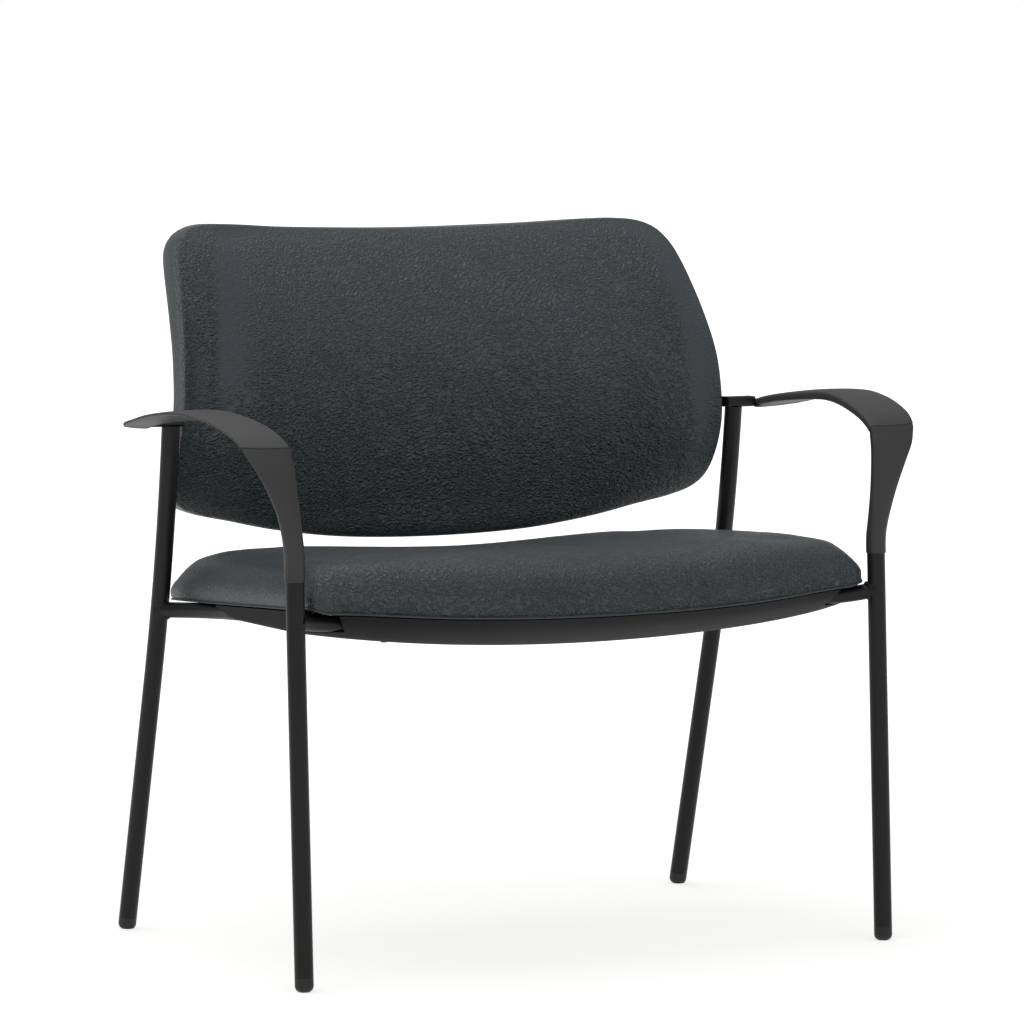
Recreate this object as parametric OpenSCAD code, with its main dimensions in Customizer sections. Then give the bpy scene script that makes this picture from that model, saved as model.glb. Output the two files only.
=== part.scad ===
// Wide reception chair with a steel tube frame, swept arms and an upholstered seat and back.
// Front is -Y, right is +X, up is +Z. The origin is on the floor, below the middle of the chair.

/* [Frame] */
// Distance between the axes of the left and right legs
leg_span = 780; // [640:5:900]
// Outer diameter of the leg tubes
tube_d = 22; // [20:0.5:26]
// Wall of the leg tubes
tube_wall = 2; // [1.5:0.1:3]
// Lean of the front legs, in degrees
front_rake = 2.7; // [1:0.1:4]
// Distance between the front and rear feet
foot_spread = 509; // [490:1:540]
// Lean of the rear legs below the bend, in degrees
rear_rake = 14.8; // [13.5:0.1:17]
// Lean of the uprights at their top, in degrees
upright_rake = 6; // [5:0.1:8]
// Height at which the rear legs begin to curve
knee_h = 320; // [300:1:340]
// Outer diameter of the side and rear rails
rail_d = 19; // [17:0.5:20]
// Outer diameter of the front cross rail
cross_d = 19; // [17:0.5:20]
// Wall of the rails
rail_wall = 1.5; // [1.2:0.1:2]
// Depth of the front cross rail's axis at the legs, below the plane of the seat's seam
cross_sink = 8.2; // [7:0.1:12]
// Dip of the front cross rail's axis in its middle
cross_dip = 8; // [6:1:9]

/* [Feet] */
// Visible height of a glide
glide_h = 16; // [12:1:22]
// Height of a glide's rounded end
glide_round_h = 6.5; // [4:0.5:8]
// Diameter of a glide's flat under the rounding
glide_flat_d = 11; // [9:0.5:13]
// Length of a glide's stem in the tube
glide_stem_h = 24; // [16:1:30]

/* [Arms] */
// Rise of the arm's socket end over the seat's rear seam
socket_rise = 60; // [56:1:68]
// Diameter of the arm's socket end
sleeve_d = 24.4; // [23:0.1:27]
// Rise of the arm over its socket end
arm_rise = 189; // [187:1:192]
// Width of the arm on top
arm_w = 65; // [58:1:72]
// Thickness of the arm at its inner edge
arm_t = 13; // [12:0.5:15]
// Crown of the arm's top face
arm_crown = 2; // [1:0.5:3]
// Diameter of the stud in the front leg's bore
stud_d = 17.6; // [15:0.1:17.8]
// Length of the stud in the tube
stud_l = 60; // [40:1:80]
// Diameter of the stud's pin in the arm
stud_pin_d = 10; // [8:0.5:12]
// Length of the stud's pin in the arm
stud_pin_l = 26; // [18:1:32]

/* [Seat] */
// Gap between the seat and each leg
seat_side_gap = 6; // [5:0.5:12]
// Overhang of the seat in front of the front feet
seat_front = 32; // [24:1:40]
// Depth of the seat
seat_d = 492; // [470:1:500]
// Height of the seat's seam at its rear edge
seat_h = 411; // [408:1:414]
// Slope of the seat, in degrees
seat_rake = 3.3; // [2.8:0.1:3.8]
// Thickness of the seat cushion over its seam
cushion_h = 60; // [50:1:66]
// Depth of the hollow in the middle of the seat
seat_dish = 9; // [4:1:14]
// Drop of the seam at the seat's front edge
front_drop = 22; // [14:1:26]
// Thickness of the seat board
seat_board_t = 12; // [10:1:15]
// Thickness of a seat mounting tab
tab_t = 3; // [2:0.5:4]

/* [Pan] */
// Wall of the moulded pan
pan_wall = 3; // [2.5:0.1:4]
// Depth of the pan below the front seam
pan_drop = 37; // [34:1:42]
// Setback of the pan's lower front edge
pan_sweep = 62; // [50:1:70]
// Distance from the seat's front edge to the rear end of the pan
pan_l = 317; // [280:1:340]

/* [Back] */
// Gap between the back and each upright
back_side_gap = 3.5; // [3:0.5:10]
// Drop of the back's lower edge below the tops of the uprights
back_drop = 154; // [146:1:160]
// Height of the back from edge to edge
back_h = 391; // [380:1:400]
// Crown of the back's padded face
back_crown = 12; // [6:1:16]
// Thickness of the padding in front of the back board
back_foam_t = 20; // [18:1:22]
// Thickness of the back board
back_board_t = 10; // [8:1:12]
// Height of the bars between the uprights, the back and the arms
bar_h = 13; // [11:0.5:15]
// Depth of the bars over the uprights
bar_d = 20; // [18:0.5:22]

/* [Hidden] */

// Facets of round parts, and of the parts whose curves are exact
round_fn = 48;
bend_fn = 720;
$fn = round_fn;
over = 1;
fit_gap = 0.15;
soft_gap = 0.3;

vinyl = [0.16, 0.20, 0.21];
black_steel = [0.12, 0.12, 0.12];
arm_grey = [0.22, 0.21, 0.21];
pan_grey = [0.20, 0.20, 0.20];
wood = [0.70, 0.56, 0.38];
zinc = [0.72, 0.72, 0.70];
nylon = [0.08, 0.08, 0.08];

// Height of the uprights' tops over the arm's socket ends, over the rise of the arm
upright_share = 0.836;
sleeve_h = seat_h + socket_rise;
upright_h = sleeve_h + upright_share * arm_rise;
back_z = upright_h - back_drop;

leg_x = leg_span / 2;
tube_bore = tube_d - 2 * tube_wall;
// The uprights curve at one radius from the bend to their top
leg_bend_r = (upright_h - knee_h) / (sin(rear_rake) - sin(upright_rake));
// Turn of the curve past the upright's top, where a level cut ends it
upright_spare = tube_d / 2 / leg_bend_r * 180 / PI;
lower_l = knee_h / cos(rear_rake);
knee_y = foot_spread - knee_h * tan(rear_rake);
bend_y = leg_bend_r * (cos(upright_rake) - cos(rear_rake));
upright_y = knee_y - bend_y;
sleeve_y = sleeve_h * tan(front_rake);
arm_reach = upright_y - sleeve_y;

seat_half = leg_x - tube_d / 2 - seat_side_gap;
seat_y0 = -seat_front;
seat_y1 = seat_y0 + seat_d;
back_half = leg_x - tube_d / 2 - back_side_gap;

// Middle of the chair from front to rear, below which the origin lies
back_rear_share = 0.5208;
mid_y = (seat_y0 + upright_y + back_rear_share * back_h) / 2;

function mix(a, b, t) = a + (b - a) * t;

// Smooth curve through four rows, between the second and the third
function blend(p, q, r, s, t) =
    0.5 * (2 * q + (r - p) * t + (2 * p - 5 * q + 4 * r - s) * t * t + (3 * q - p - 3 * r + s) * t * t * t);

// Closed smooth curve through the points, with n steps between two of them
function closed_curve(pts, n) = let (m = len(pts)) [
    for (i = [0:m - 1], k = [0:n - 1])
        blend(pts[(i + m - 1) % m], pts[i], pts[(i + 1) % m], pts[(i + 2) % m], k / n)
];

// Open smooth run through the rows, with n steps between two of them
function open_curve(rows, n) = let (m = len(rows) - 1) [
    for (i = [0:m - 1], k = [0:n - 1])
        blend(rows[max(i - 1, 0)], rows[i], rows[i + 1], rows[min(i + 2, m)], k / n),
    rows[m]
];

// Value of an evenly spaced table at v from 0 to 1
function along(table, v) =
    let (m = len(table) - 1, w = min(max(v, 0), 1) * m, i = min(floor(w), m - 1))
    blend(table[max(i - 1, 0)], table[i], table[i + 1], table[min(i + 2, m)], w - i);

// Whole outline from its right half, which runs from the middle of one edge to the middle of the other
function mirrored(half) = concat(half, [for (i = [len(half) - 2:-1:1]) [-half[i][0], half[i][1]]]);

// Closed solid through rings of equally many points, with a fan to a centre point at each end
module loft(rings, first, last) {
    n = len(rings[0]);
    m = len(rings);
    pts = concat([first, last], [for (r = rings) each r]);
    at = function(k, i) 2 + k * n + i % n;
    faces = concat(
        [for (i = [0:n - 1]) [0, at(0, i + 1), at(0, i)]],
        [for (k = [0:m - 2], i = [0:n - 1]) [at(k, i), at(k, i + 1), at(k + 1, i + 1)]],
        [for (k = [0:m - 2], i = [0:n - 1]) [at(k, i), at(k + 1, i + 1), at(k + 1, i)]],
        [for (i = [0:n - 1]) [1, at(m - 1, i), at(m - 1, i + 1)]]
    );
    polyhedron(pts, faces);
}

module placed() {
    translate([0, -mid_y, 0]) children();
}

// Right-hand piece, or its mirror image on the left
module on_side(side) {
    placed() mirror([side < 0 ? 1 : 0, 0, 0]) children();
}

module both_sides() {
    children();
    mirror([1, 0, 0]) children();
}

module ring_2d(d, bore) {
    difference() {
        circle(d = d, $fn = round_fn);
        if (bore > 0) circle(d = bore, $fn = round_fn);
    }
}

// Straight run, then a bend of radius r through angle, turned to the direction turn
module bent_tube(d, bore, run, r, angle, turn = 90) {
    if (run > 0) linear_extrude(run) ring_2d(d, bore);
    translate([0, 0, run]) rotate([0, 0, turn - 90]) translate([0, r, 0]) rotate([90, 0, -90])
        rotate_extrude(angle = angle, $fn = bend_fn) translate([r, 0]) ring_2d(d, bore);
}

// Frames of reference of the legs, with the origin at the foot and Z along the tube

module front_leg_axis() {
    translate([leg_x, 0, 0]) rotate([-front_rake, 0, 0]) children();
}

module rear_leg_axis() {
    translate([leg_x, foot_spread, 0]) rotate([rear_rake, 0, 0]) children();
}

module front_leg_form(d, bore, start) {
    difference() {
        front_leg_axis() translate([0, 0, start]) linear_extrude(sleeve_h) ring_2d(d, bore);
        translate([leg_x - tube_d, -tube_d, sleeve_h]) cube([2 * tube_d, 4 * tube_d, 2 * tube_d]);
    }
}

module rear_leg_form(d, bore, start) {
    difference() {
        rear_leg_axis() translate([0, 0, start])
            bent_tube(d, bore, lower_l - start, leg_bend_r, rear_rake - upright_rake + upright_spare);
        translate([leg_x - tube_d, upright_y - 2 * tube_d, upright_h])
            cube([2 * tube_d, 4 * tube_d, 2 * tube_d]);
    }
}

module front_leg(side) {
    color(black_steel) on_side(side) front_leg_form(tube_d, tube_bore, glide_h);
}

module rear_leg(side) {
    color(black_steel) on_side(side) rear_leg_form(tube_d, tube_bore, glide_h);
}

// Rounding of a glide from its flat to the tube, over its half width and its height
glide_round_shares = [[0.72, 0.34], [0.92, 0.66], [1, 1]];
stem_taper_shares = [[1, 0.85], [0.8, 1]];

// Glide with a stem in the tube, cut flat on the floor
module glide_form() {
    stem_r = tube_bore / 2 - fit_gap;
    rotate_extrude() polygon(concat(
        [[0, -over], [glide_flat_d / 2, -over], [glide_flat_d / 2 + over, 0]],
        [for (s = glide_round_shares) [mix(glide_flat_d, tube_d, s[0]) / 2, s[1] * glide_round_h]],
        [[tube_d / 2, glide_h], [stem_r, glide_h]],
        [for (s = stem_taper_shares) [s[0] * stem_r, glide_h + s[1] * glide_stem_h]],
        [[0, glide_h + glide_stem_h]]
    ));
}

module above_floor(y) {
    intersection() {
        children();
        translate([leg_x - 2 * tube_d, y - 2 * tube_d, 0]) cube([4 * tube_d, 4 * tube_d, 4 * tube_d]);
    }
}

module glide_front(side) {
    color(nylon) on_side(side) above_floor(0) front_leg_axis() glide_form();
}

module glide_rear(side) {
    color(nylon) on_side(side) above_floor(foot_spread) rear_leg_axis() glide_form();
}

// Plane of the seat's seam, and the drop of the seam towards the front edge
drop_l = 92;
function plane_z(y) = seat_h + (seat_y1 - y) * tan(seat_rake);
function drop_z(y) = front_drop * pow(max(0, 1 - (y - seat_y0) / drop_l), 2);
function seam_z(y) = plane_z(y) - drop_z(y);

// Rise of the seam at the front corners, over the ends of the front cross rail
corner_rise_h = 8;
corner_rise_w = 28;
function corner_seam(x, y) =
    let (t = max(0, 1 - (seat_half - abs(x)) / corner_rise_w), front = max(0, 1 - (y - seat_y0) / drop_l))
    corner_rise_h * t * t * min(1, 2 * front);
function seam_at(x, y) = seam_z(y) + corner_seam(x, y);

// Side rails run below the board and turn outwards to the rear legs
rail_play = 0.5;
rail_drop = rail_play + rail_d / 2;
rail_inset = 35;
rail_turn = 30;
rail_bend_r = rail_inset / (1 - cos(rail_turn));
rail_x = leg_x - rail_inset;
// Setback of the cross rail behind the seat's front edge, over the seat's depth
cross_setback_share = 0.14634;
cross_y = seat_y0 + cross_setback_share * seat_d;
cross_end_h = plane_z(cross_y) - cross_sink;
cross_mid_h = cross_end_h - cross_dip;
leg_y_at_rail = foot_spread - (seat_h - rail_drop) * tan(rear_rake);
rail_bend_y = leg_y_at_rail - rail_bend_r * sin(rail_turn);

// Side rail along +Y from y0, on the seat's slope
module rail_form(d, bore, y0) {
    translate([rail_x, y0, plane_z(y0) - rail_drop]) rotate([-90 - seat_rake, 0, 0])
        bent_tube(d, bore, (rail_bend_y - y0) / cos(seat_rake), rail_bend_r, rail_turn, 0);
}

module side_rail(side) {
    color(black_steel) on_side(side) difference() {
        rail_form(rail_d, rail_d - 2 * rail_wall, cross_y_at_rail);
        rear_leg_form(tube_d, 0, 0);
        cross_rail_form(cross_d, 0);
    }
}

// The front cross rail is straight in the middle and bends up and forward to the legs
cross_end_x = 60;
leg_y_at_cross = cross_end_h * tan(front_rake);
cross_side = norm([cross_y - leg_y_at_cross, cross_end_h - cross_mid_h]);
cross_turn = 2 * atan(cross_side / cross_end_x);
cross_bend_r = cross_end_x / sin(cross_turn);
cross_tilt = -atan2(cross_end_h - cross_mid_h, cross_y - leg_y_at_cross);

// Share of the cross rail's sideways step that lies behind x, and where its axis meets the side rail
function cross_share(x) =
    let (s = max(0, x - leg_x + cross_end_x) / cross_bend_r)
    (1 - sqrt(1 - s * s)) / (1 - cos(cross_turn));
cross_y_at_rail = mix(cross_y, leg_y_at_cross, cross_share(rail_x));

module cross_rail_form(d, bore) {
    straight_l = leg_x - cross_end_x;
    translate([0, cross_y, cross_mid_h]) rotate([cross_tilt, 0, 0]) {
        translate([-straight_l, 0, 0]) rotate([0, 90, 0]) linear_extrude(2 * straight_l) ring_2d(d, bore);
        both_sides() translate([straight_l, 0, 0]) rotate([0, 90, 0])
            bent_tube(d, bore, 0, cross_bend_r, cross_turn, -90);
    }
}

module front_cross_rail() {
    color(black_steel) placed() difference() {
        cross_rail_form(cross_d, cross_d - 2 * rail_wall);
        both_sides() front_leg_form(tube_d, 0, 0);
    }
}

rear_cross_y = 318;

module rear_cross_rail() {
    color(black_steel) placed() difference() {
        translate([-rail_x, rear_cross_y, plane_z(rear_cross_y) - rail_drop]) rotate([0, 90, 0])
            linear_extrude(2 * rail_x) ring_2d(rail_d, rail_d - 2 * rail_wall);
        both_sides() rail_form(rail_d, 0, cross_y);
    }
}

// Mounting tabs on the side rails, and the bolts and tee nuts that hold the seat board on them
tab_w = 46;
tab_l = 34;
bolt_d = 6;
bolt_clear = 0.6;
bolt_head_d = 11;
bolt_head_h = 4;
nut_flange_d = 19;
nut_flange_h = 1.5;
nut_barrel_d = 8;
// The tabs end at the rail's inner side, where its round reaches their underside
tab_sink = tab_t - rail_play;
tab_x1 = rail_x - sqrt(rail_d * tab_sink - tab_sink * tab_sink);
bolt_x = tab_x1 - tab_w / 2;
// Setback of the front tabs behind the cross rail, and the place of the rear ones
tab_setback = 40;
bolt_ys = [cross_y + tab_setback, 275];

// Puts children on the underside of the seat board at each bolt
module at_seat_bolts() {
    both_sides() for (y = bolt_ys)
        translate([bolt_x, y, plane_z(y)]) rotate([-seat_rake, 0, 0]) children();
}

module seat_tabs() {
    color(black_steel) placed() at_seat_bolts() difference() {
        translate([-tab_w / 2, -tab_l / 2, -tab_t]) cube([tab_w, tab_l, tab_t]);
        translate([0, 0, -tab_t - over]) cylinder(d = bolt_d + bolt_clear, h = tab_t + 2 * over);
    }
}

module seat_bolts() {
    color(zinc) placed() at_seat_bolts() {
        translate([0, 0, -tab_t - bolt_head_h]) cylinder(d = bolt_head_d, h = bolt_head_h, $fn = 6);
        translate([0, 0, -tab_t]) cylinder(d = bolt_d, h = tab_t + seat_board_t);
    }
}

module seat_nuts() {
    color(zinc) placed() at_seat_bolts() difference() {
        union() {
            cylinder(d = nut_barrel_d, h = seat_board_t);
            translate([0, 0, seat_board_t]) cylinder(d = nut_flange_d, h = nut_flange_h);
        }
        translate([0, 0, -over])
            cylinder(d = bolt_d + 2 * fit_gap, h = seat_board_t + nut_flange_h + 2 * over);
    }
}

// Right half of the seat in plan, as shares of its half width and its depth
seat_half_shares = [
    [0, 0], [0.24, 0.004], [0.40, 0.013], [0.55, 0.026], [0.686, 0.046], [0.812, 0.071],
    [0.905, 0.088], [0.968, 0.097], [0.994, 0.113], [1, 0.20], [0.999, 0.50], [0.997, 0.75],
    [0.992, 0.88], [0.976, 0.945], [0.93, 0.984], [0.82, 0.998], [0.53, 1], [0, 1],
];
seat_outline = closed_curve(mirrored(seat_half_shares), 2);

// Point of the seat's outline, drawn in by inset on all sides
function seat_xy(p, inset) = [
    p[0] * (seat_half - inset),
    seat_y0 + inset + p[1] * (seat_d - 2 * inset),
];

// Inset and height of the cushion's rings, from the crown to the seam
cushion_inset_shares = [2.6, 1.7, 1.05, 0.62, 0.36, 0.20, 0.10, 0.04, 0.01, 0, 0.03, 0.07];
cushion_height_shares = [1, 1, 0.99, 0.97, 0.925, 0.85, 0.74, 0.58, 0.38, 0.20, 0.06, 0];

// Height of the cushion over the seam: full at the sides and hollow in the middle
dish_width_share = 0.72;
function plateau(x, y) =
    let (
        across = max(0, 1 - pow(x / (dish_width_share * seat_half), 2)),
        back = min(1, 2 * (y - seat_y0) / seat_d)
    )
    cushion_h - seat_dish * pow(across, 2) * back;

// The corners are drawn in further the higher they lie: the middle of the seat between its front and
// rear corners, the height at which the draw-in is full, and its size over the cushion's height
corner_mid_share = 0.55;
corner_full_share = 0.8;
corner_draw_share = 0.5;
function seat_corner(p) =
    pow(abs(p[0]), 8) * min(1, pow(abs(p[1] - corner_mid_share) / (1 - corner_mid_share), 6));
function corner_rise(k) = min(1, pow(cushion_height_shares[k] / corner_full_share, 2));

function cushion_ring(k) = [
    for (p = seat_outline)
        let (
            draw = cushion_inset_shares[k] + corner_draw_share * corner_rise(k) * seat_corner(p),
            q = seat_xy(p, draw * cushion_h)
        )
        [q[0], q[1], seam_at(q[0], q[1]) + cushion_height_shares[k] * plateau(q[0], q[1])]
];

board_inset = 12;
board_front_inset = 46;

function board_xy(p, extra) = [
    p[0] * (seat_half - board_inset + extra),
    seat_y0 + board_front_inset - extra + p[1] * (seat_d - board_inset - board_front_inset + 2 * extra),
];

// Puts a plan outline on the plane of the seam, so that local heights are over that plane
module on_seat_plane() {
    translate([0, seat_y1, seat_h]) rotate([-seat_rake, 0, 0]) translate([0, -seat_y1, 0]) children();
}

module seat_board() {
    color(wood) placed() difference() {
        on_seat_plane() linear_extrude(seat_board_t) polygon([for (p = seat_outline) board_xy(p, 0)]);
        at_seat_bolts() translate([0, 0, -over]) cylinder(d = nut_barrel_d, h = seat_board_t + 2 * over);
    }
}

// Rings of the underside, drawn in over the cushion's height
under_inset_shares = [0.5, 1.2, 2.4];
function under_ring(share) = [
    for (p = seat_outline) let (q = seat_xy(p, share * cushion_h)) [q[0], q[1], seam_at(q[0], q[1])]
];

module seat_cushion() {
    rings = concat(
        [for (k = [0:len(cushion_inset_shares) - 1]) cushion_ring(k)],
        [for (share = under_inset_shares) under_ring(share)]
    );
    centre_y = seat_y0 + seat_d / 2;
    color(vinyl) placed() difference() {
        loft(rings, [0, centre_y, seam_z(centre_y) + plateau(0, centre_y)], [0, centre_y, seam_z(centre_y)]);
        on_seat_plane() translate([0, 0, -over])
            linear_extrude(over + seat_board_t + nut_flange_h + soft_gap)
            polygon([for (p = seat_outline) board_xy(p, soft_gap)]);
    }
}

// Pan below the seat: walls that follow the seam, swept back to a bowed floor
pan_gap = 1.5;
pan_side_inset = 3;
pan_floor_rise = 27;
pan_flank_cut = 26;

// Share of the sweep that the corners lose, and share of the depth over which the sweep runs out
pan_corner_share = 0.45;
pan_sweep_share = 0.625;
// Widths of the floor's inner rings, and how far they are drawn to its middle
floor_width_shares = [0.72, 0.36];
floor_draw_shares = [0.3, 0.6];
wall_level_shares = [0.25, 0.5, 0.75, 1];

function pan_floor_z(x) = seam_z(seat_y0) - pan_drop + pan_floor_rise * pow(x / seat_half, 2);
function pan_setback(p) =
    pan_sweep * (1 - pan_corner_share * pow(p[0], 2)) * pow(max(0, 1 - p[1] / pan_sweep_share), 2);

// Ring of the pan's outer face at t from 0 at the seam to 1 at the floor, drawn in by wall
function pan_ring(t, wall) = [
    for (p = seat_outline)
        let (
            q = seat_xy(p, pan_side_inset + wall),
            y = q[1] + pan_setback(p) * pow(t, 1.5),
            top = seam_at(q[0], q[1]) - pan_gap
        )
        [q[0], y, mix(top, pan_floor_z(q[0]) + wall, t)]
];

function pan_floor_ring(k, wall) = [
    for (q = pan_ring(1, wall))
        let (x = q[0] * floor_width_shares[k])
        [x, mix(q[1], seat_y0 + seat_d / 2, floor_draw_shares[k]), pan_floor_z(x) + wall]
];

module pan_form(wall, lift) {
    y = seat_y0 + seat_d / 2;
    loft(concat(
        [[for (q = pan_ring(0, wall)) [q[0], q[1], q[2] + lift]]],
        [for (t = wall_level_shares) pan_ring(t, wall)],
        [for (k = [0:len(floor_width_shares) - 1]) pan_floor_ring(k, wall)]
    ), [0, y, seam_z(y) - pan_gap + lift], [0, y, pan_floor_z(0) + wall]);
}

// Room for the ends of the front cross rail: the front lip ends on a slant, and its lower edge runs on
lip_end_inset = 38;
lip_slant = 13;
notch_play = 0.6;

module rail_notch() {
    x0 = seat_half - lip_end_inset;
    z0 = cross_mid_h - cross_d / 2 - notch_play;
    z1 = z0 + cross_d;
    translate([0, seat_y0 - over, 0]) rotate([90, 0, 0]) mirror([0, 0, 1])
        linear_extrude(over + cross_y - seat_y0 + cross_d / 2 + notch_play)
        polygon([
            [x0 - lip_slant, z0], [leg_x, z0], [leg_x, z1 + tube_d],
            [x0 + lip_slant, z1 + tube_d], [x0, z1],
        ]);
}

// Slot in the pan's floor below the rear half of each side rail, inside the flank
slot_share = 0.6;
slot_z = pan_floor_z(rail_x) - pan_wall;

module rail_slot() {
    x0 = rail_x - rail_d / 2 - 2 * pan_gap;
    x1 = rail_x + rail_d / 2 + 2 * soft_gap;
    translate([x0, seat_y0 + slot_share * pan_l, slot_z]) cube([x1 - x0, pan_l, pan_drop]);
}

module seat_pan() {
    rear_y = seat_y0 + pan_l;
    color(pan_grey) placed() difference() {
        pan_form(0, 0);
        pan_form(pan_wall, 4 * pan_gap);
        translate([-seat_half, rear_y, 0]) cube([2 * seat_half, seat_d, 2 * seat_h]);
        translate([-seat_half, rear_y, seam_z(rear_y) - pan_flank_cut]) rotate([-45, 0, 0])
            translate([0, 0, -pan_flank_cut]) cube([2 * seat_half, seat_d, pan_flank_cut * 2]);
        both_sides() rail_notch();
        both_sides() rail_slot();
        at_pan_screws() translate([0, 0, -pan_wall]) cylinder(d = screw_d + 2 * fit_gap, h = 3 * pan_wall);
    }
}

// Blocks that hang the pan from the seat board, and the screws that hold them
block_x = 250;
block_setback = 35;
block_ys = [cross_y + block_setback, 240];
block_d = 16;
screw_d = 4;
screw_head_d = 8;
screw_head_h = 2.5;
screw_bite = 12;
// Play under the blocks and over the screw heads, where the pan's floor is bowed
block_lift = 1.2;
head_drop = 0.4;

// Puts children on the pan's outer floor at each screw
module at_pan_screws() {
    both_sides() for (y = block_ys) translate([block_x, y, pan_floor_z(block_x)]) children();
}

module pan_blocks() {
    color(pan_grey) placed() difference() {
        at_pan_screws() translate([0, 0, pan_wall + block_lift]) cylinder(d = block_d, h = 2 * cushion_h);
        on_seat_plane() translate([-seat_half, seat_y0, 0]) cube([2 * seat_half, seat_d, 4 * cushion_h]);
        at_pan_screws() cylinder(d = screw_d + 2 * fit_gap, h = screw_bite + block_lift);
    }
}

module pan_screws() {
    color(zinc) placed() at_pan_screws() {
        translate([0, 0, -screw_head_h - head_drop]) cylinder(d = screw_head_d, h = screw_head_h);
        translate([0, 0, -head_drop]) cylinder(d = screw_d, h = screw_bite);
    }
}

// Stations of the arm from its socket end to its rear end. Each row holds the inner and outer edge of
// the top face, over the width, the reach and the rise, then both edge thicknesses and the squareness.
arm_shares = [
    [-0.17, 0.215, -0.033, -0.036, 0.196, 0.196, 1.69, 1.65, 0.95],
    [-0.14, 0.277, -0.026, -0.035, 0.296, 0.296, 1.38, 1.23, 0.85],
    [-0.10, 0.39, -0.017, -0.033, 0.43, 0.43, 1.12, 0.85, 0.7],
    [-0.06, 0.585, -0.006, -0.023, 0.582, 0.582, 1.0, 0.54, 0.6],
    [-0.04, 0.755, 0.003, -0.009, 0.693, 0.693, 0.96, 0.38, 0.5],
    [-0.023, 0.86, 0.017, 0.014, 0.767, 0.767, 0.96, 0.32, 0.5],
    [-0.015, 0.93, 0.032, 0.039, 0.82, 0.825, 1, 0.28, 0.5],
    [0.015, 1.0, 0.101, 0.101, 0.889, 0.892, 1, 0.26, 0.5],
    [0.077, 1.077, 0.214, 0.214, 0.95, 0.952, 1.04, 0.25, 0.5],
    [0.17, 1.16, 0.335, 0.335, 0.987, 0.984, 1.08, 0.23, 0.5],
    [0.215, 1.215, 0.434, 0.434, 1, 0.995, 1.1, 0.23, 0.5],
    [0.27, 1.254, 0.549, 0.549, 0.989, 0.984, 1.04, 0.23, 0.5],
    [0.323, 1.285, 0.682, 0.682, 0.968, 0.955, 1, 0.23, 0.5],
    [0.377, 1.285, 0.821, 0.798, 0.942, 0.913, 0.96, 0.23, 0.5],
    [0.408, 1.26, 0.934, 0.861, 0.913, 0.892, 0.96, 0.25, 0.5],
    [0.415, 1.09, 0.986, 0.928, 0.892, 0.873, 0.96, 0.38, 0.55],
    [0.423, 0.80, 0.997, 0.974, 0.886, 0.876, 0.92, 0.58, 0.6],
    [0.46, 0.65, 1.001, 0.993, 0.881, 0.877, 0.69, 0.54, 0.7],
];
arm_step = 2;

// Rows in real sizes, led by two round ones at the socket end
function sleeve_row(h) =
    let (r = sleeve_d / 2) [-r, r, -r, -r, h, h, sleeve_d, sleeve_d, 1];
function arm_row(s) = [
    s[0] * arm_w, s[1] * arm_w, s[2] * arm_reach, s[3] * arm_reach, s[4] * arm_rise, s[5] * arm_rise,
    s[6] * arm_t, s[7] * arm_t, s[8],
];
sleeve_run_share = 0.11;
smooth_rows = open_curve(concat(
    [sleeve_row(0), sleeve_row(sleeve_run_share * arm_rise)],
    [for (s = arm_shares) arm_row(s)]
), arm_step);

// The pad lies between two rows: the crease, and one near the rear end. A row close before the first
// and one close after the second carry the end walls of its recess.
crease_row = 16;
pad_end_row = len(smooth_rows) - 4;
wall_share = 0.05;
arm_rows = concat(
    [for (k = [0:crease_row - 1]) smooth_rows[k]],
    [mix(smooth_rows[crease_row], smooth_rows[crease_row - 1], wall_share)],
    [for (k = [crease_row:pad_end_row]) smooth_rows[k]],
    [mix(smooth_rows[pad_end_row], smooth_rows[pad_end_row + 1], wall_share)],
    [for (k = [pad_end_row + 1:len(smooth_rows) - 1]) smooth_rows[k]]
);
pad_first = crease_row + 1;
pad_last = pad_end_row + 1;

function inner_edge(r) = [leg_x + r[0], sleeve_y + r[2], sleeve_h + r[4]];
function outer_edge(r) = [leg_x + r[1], sleeve_y + r[3], sleeve_h + r[5]];
function row_mid(k) =
    let (r = arm_rows[min(max(k, 0), len(arm_rows) - 1)]) (inner_edge(r) + outer_edge(r)) / 2;

// Direction from the top face into the arm, square to the run of the arm seen from the side
function into_arm(k) =
    let (t = row_mid(k + 2) - row_mid(k - 2), l = norm([t[1], t[2]]))
    k < arm_step ? [0, 1, 0] : [0, t[2] / l, -t[1] / l];

// Point of a station: a from the inner to the outer edge, depth as a share of the thickness there
function arm_thickness(k, a) = mix(arm_rows[k][6], arm_rows[k][7], a);
function arm_point(k, a, depth) =
    let (
        r = arm_rows[k],
        t = arm_thickness(k, a),
        bulge = arm_crown * (1 - r[8]) * 4 * a * (1 - a) * (1 - depth)
    )
    mix(inner_edge(r), outer_edge(r), a) + into_arm(k) * (t * depth - bulge);

function power(v, p) = sign(v) * pow(abs(v), p);

// Depth of the rounded top face at a
function top_depth(k, a) = let (p = arm_rows[k][8]) (1 - pow(1 - pow(abs(2 * a - 1), 2 / p), p / 2)) / 2;

// The recess of the pad: its margin over the width, and its depth over the thickness
pad_edge_share = 0.06;
pad_depth_share = 0.3;
pad_play = 0.3;
across_shares = [0.75, 0.5, 0.25];
recess_shares = concat([1 - pad_edge_share], across_shares, [pad_edge_share]);
rim_angles = [-20, 0, 25];
under_angles = [155, 180, 200, 220, 245, 270, 295, 320];

function edge_point(k, w) =
    let (p = arm_rows[k][8]) arm_point(k, (1 + power(cos(w), p)) / 2, (1 - power(sin(w), p)) / 2);

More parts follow.
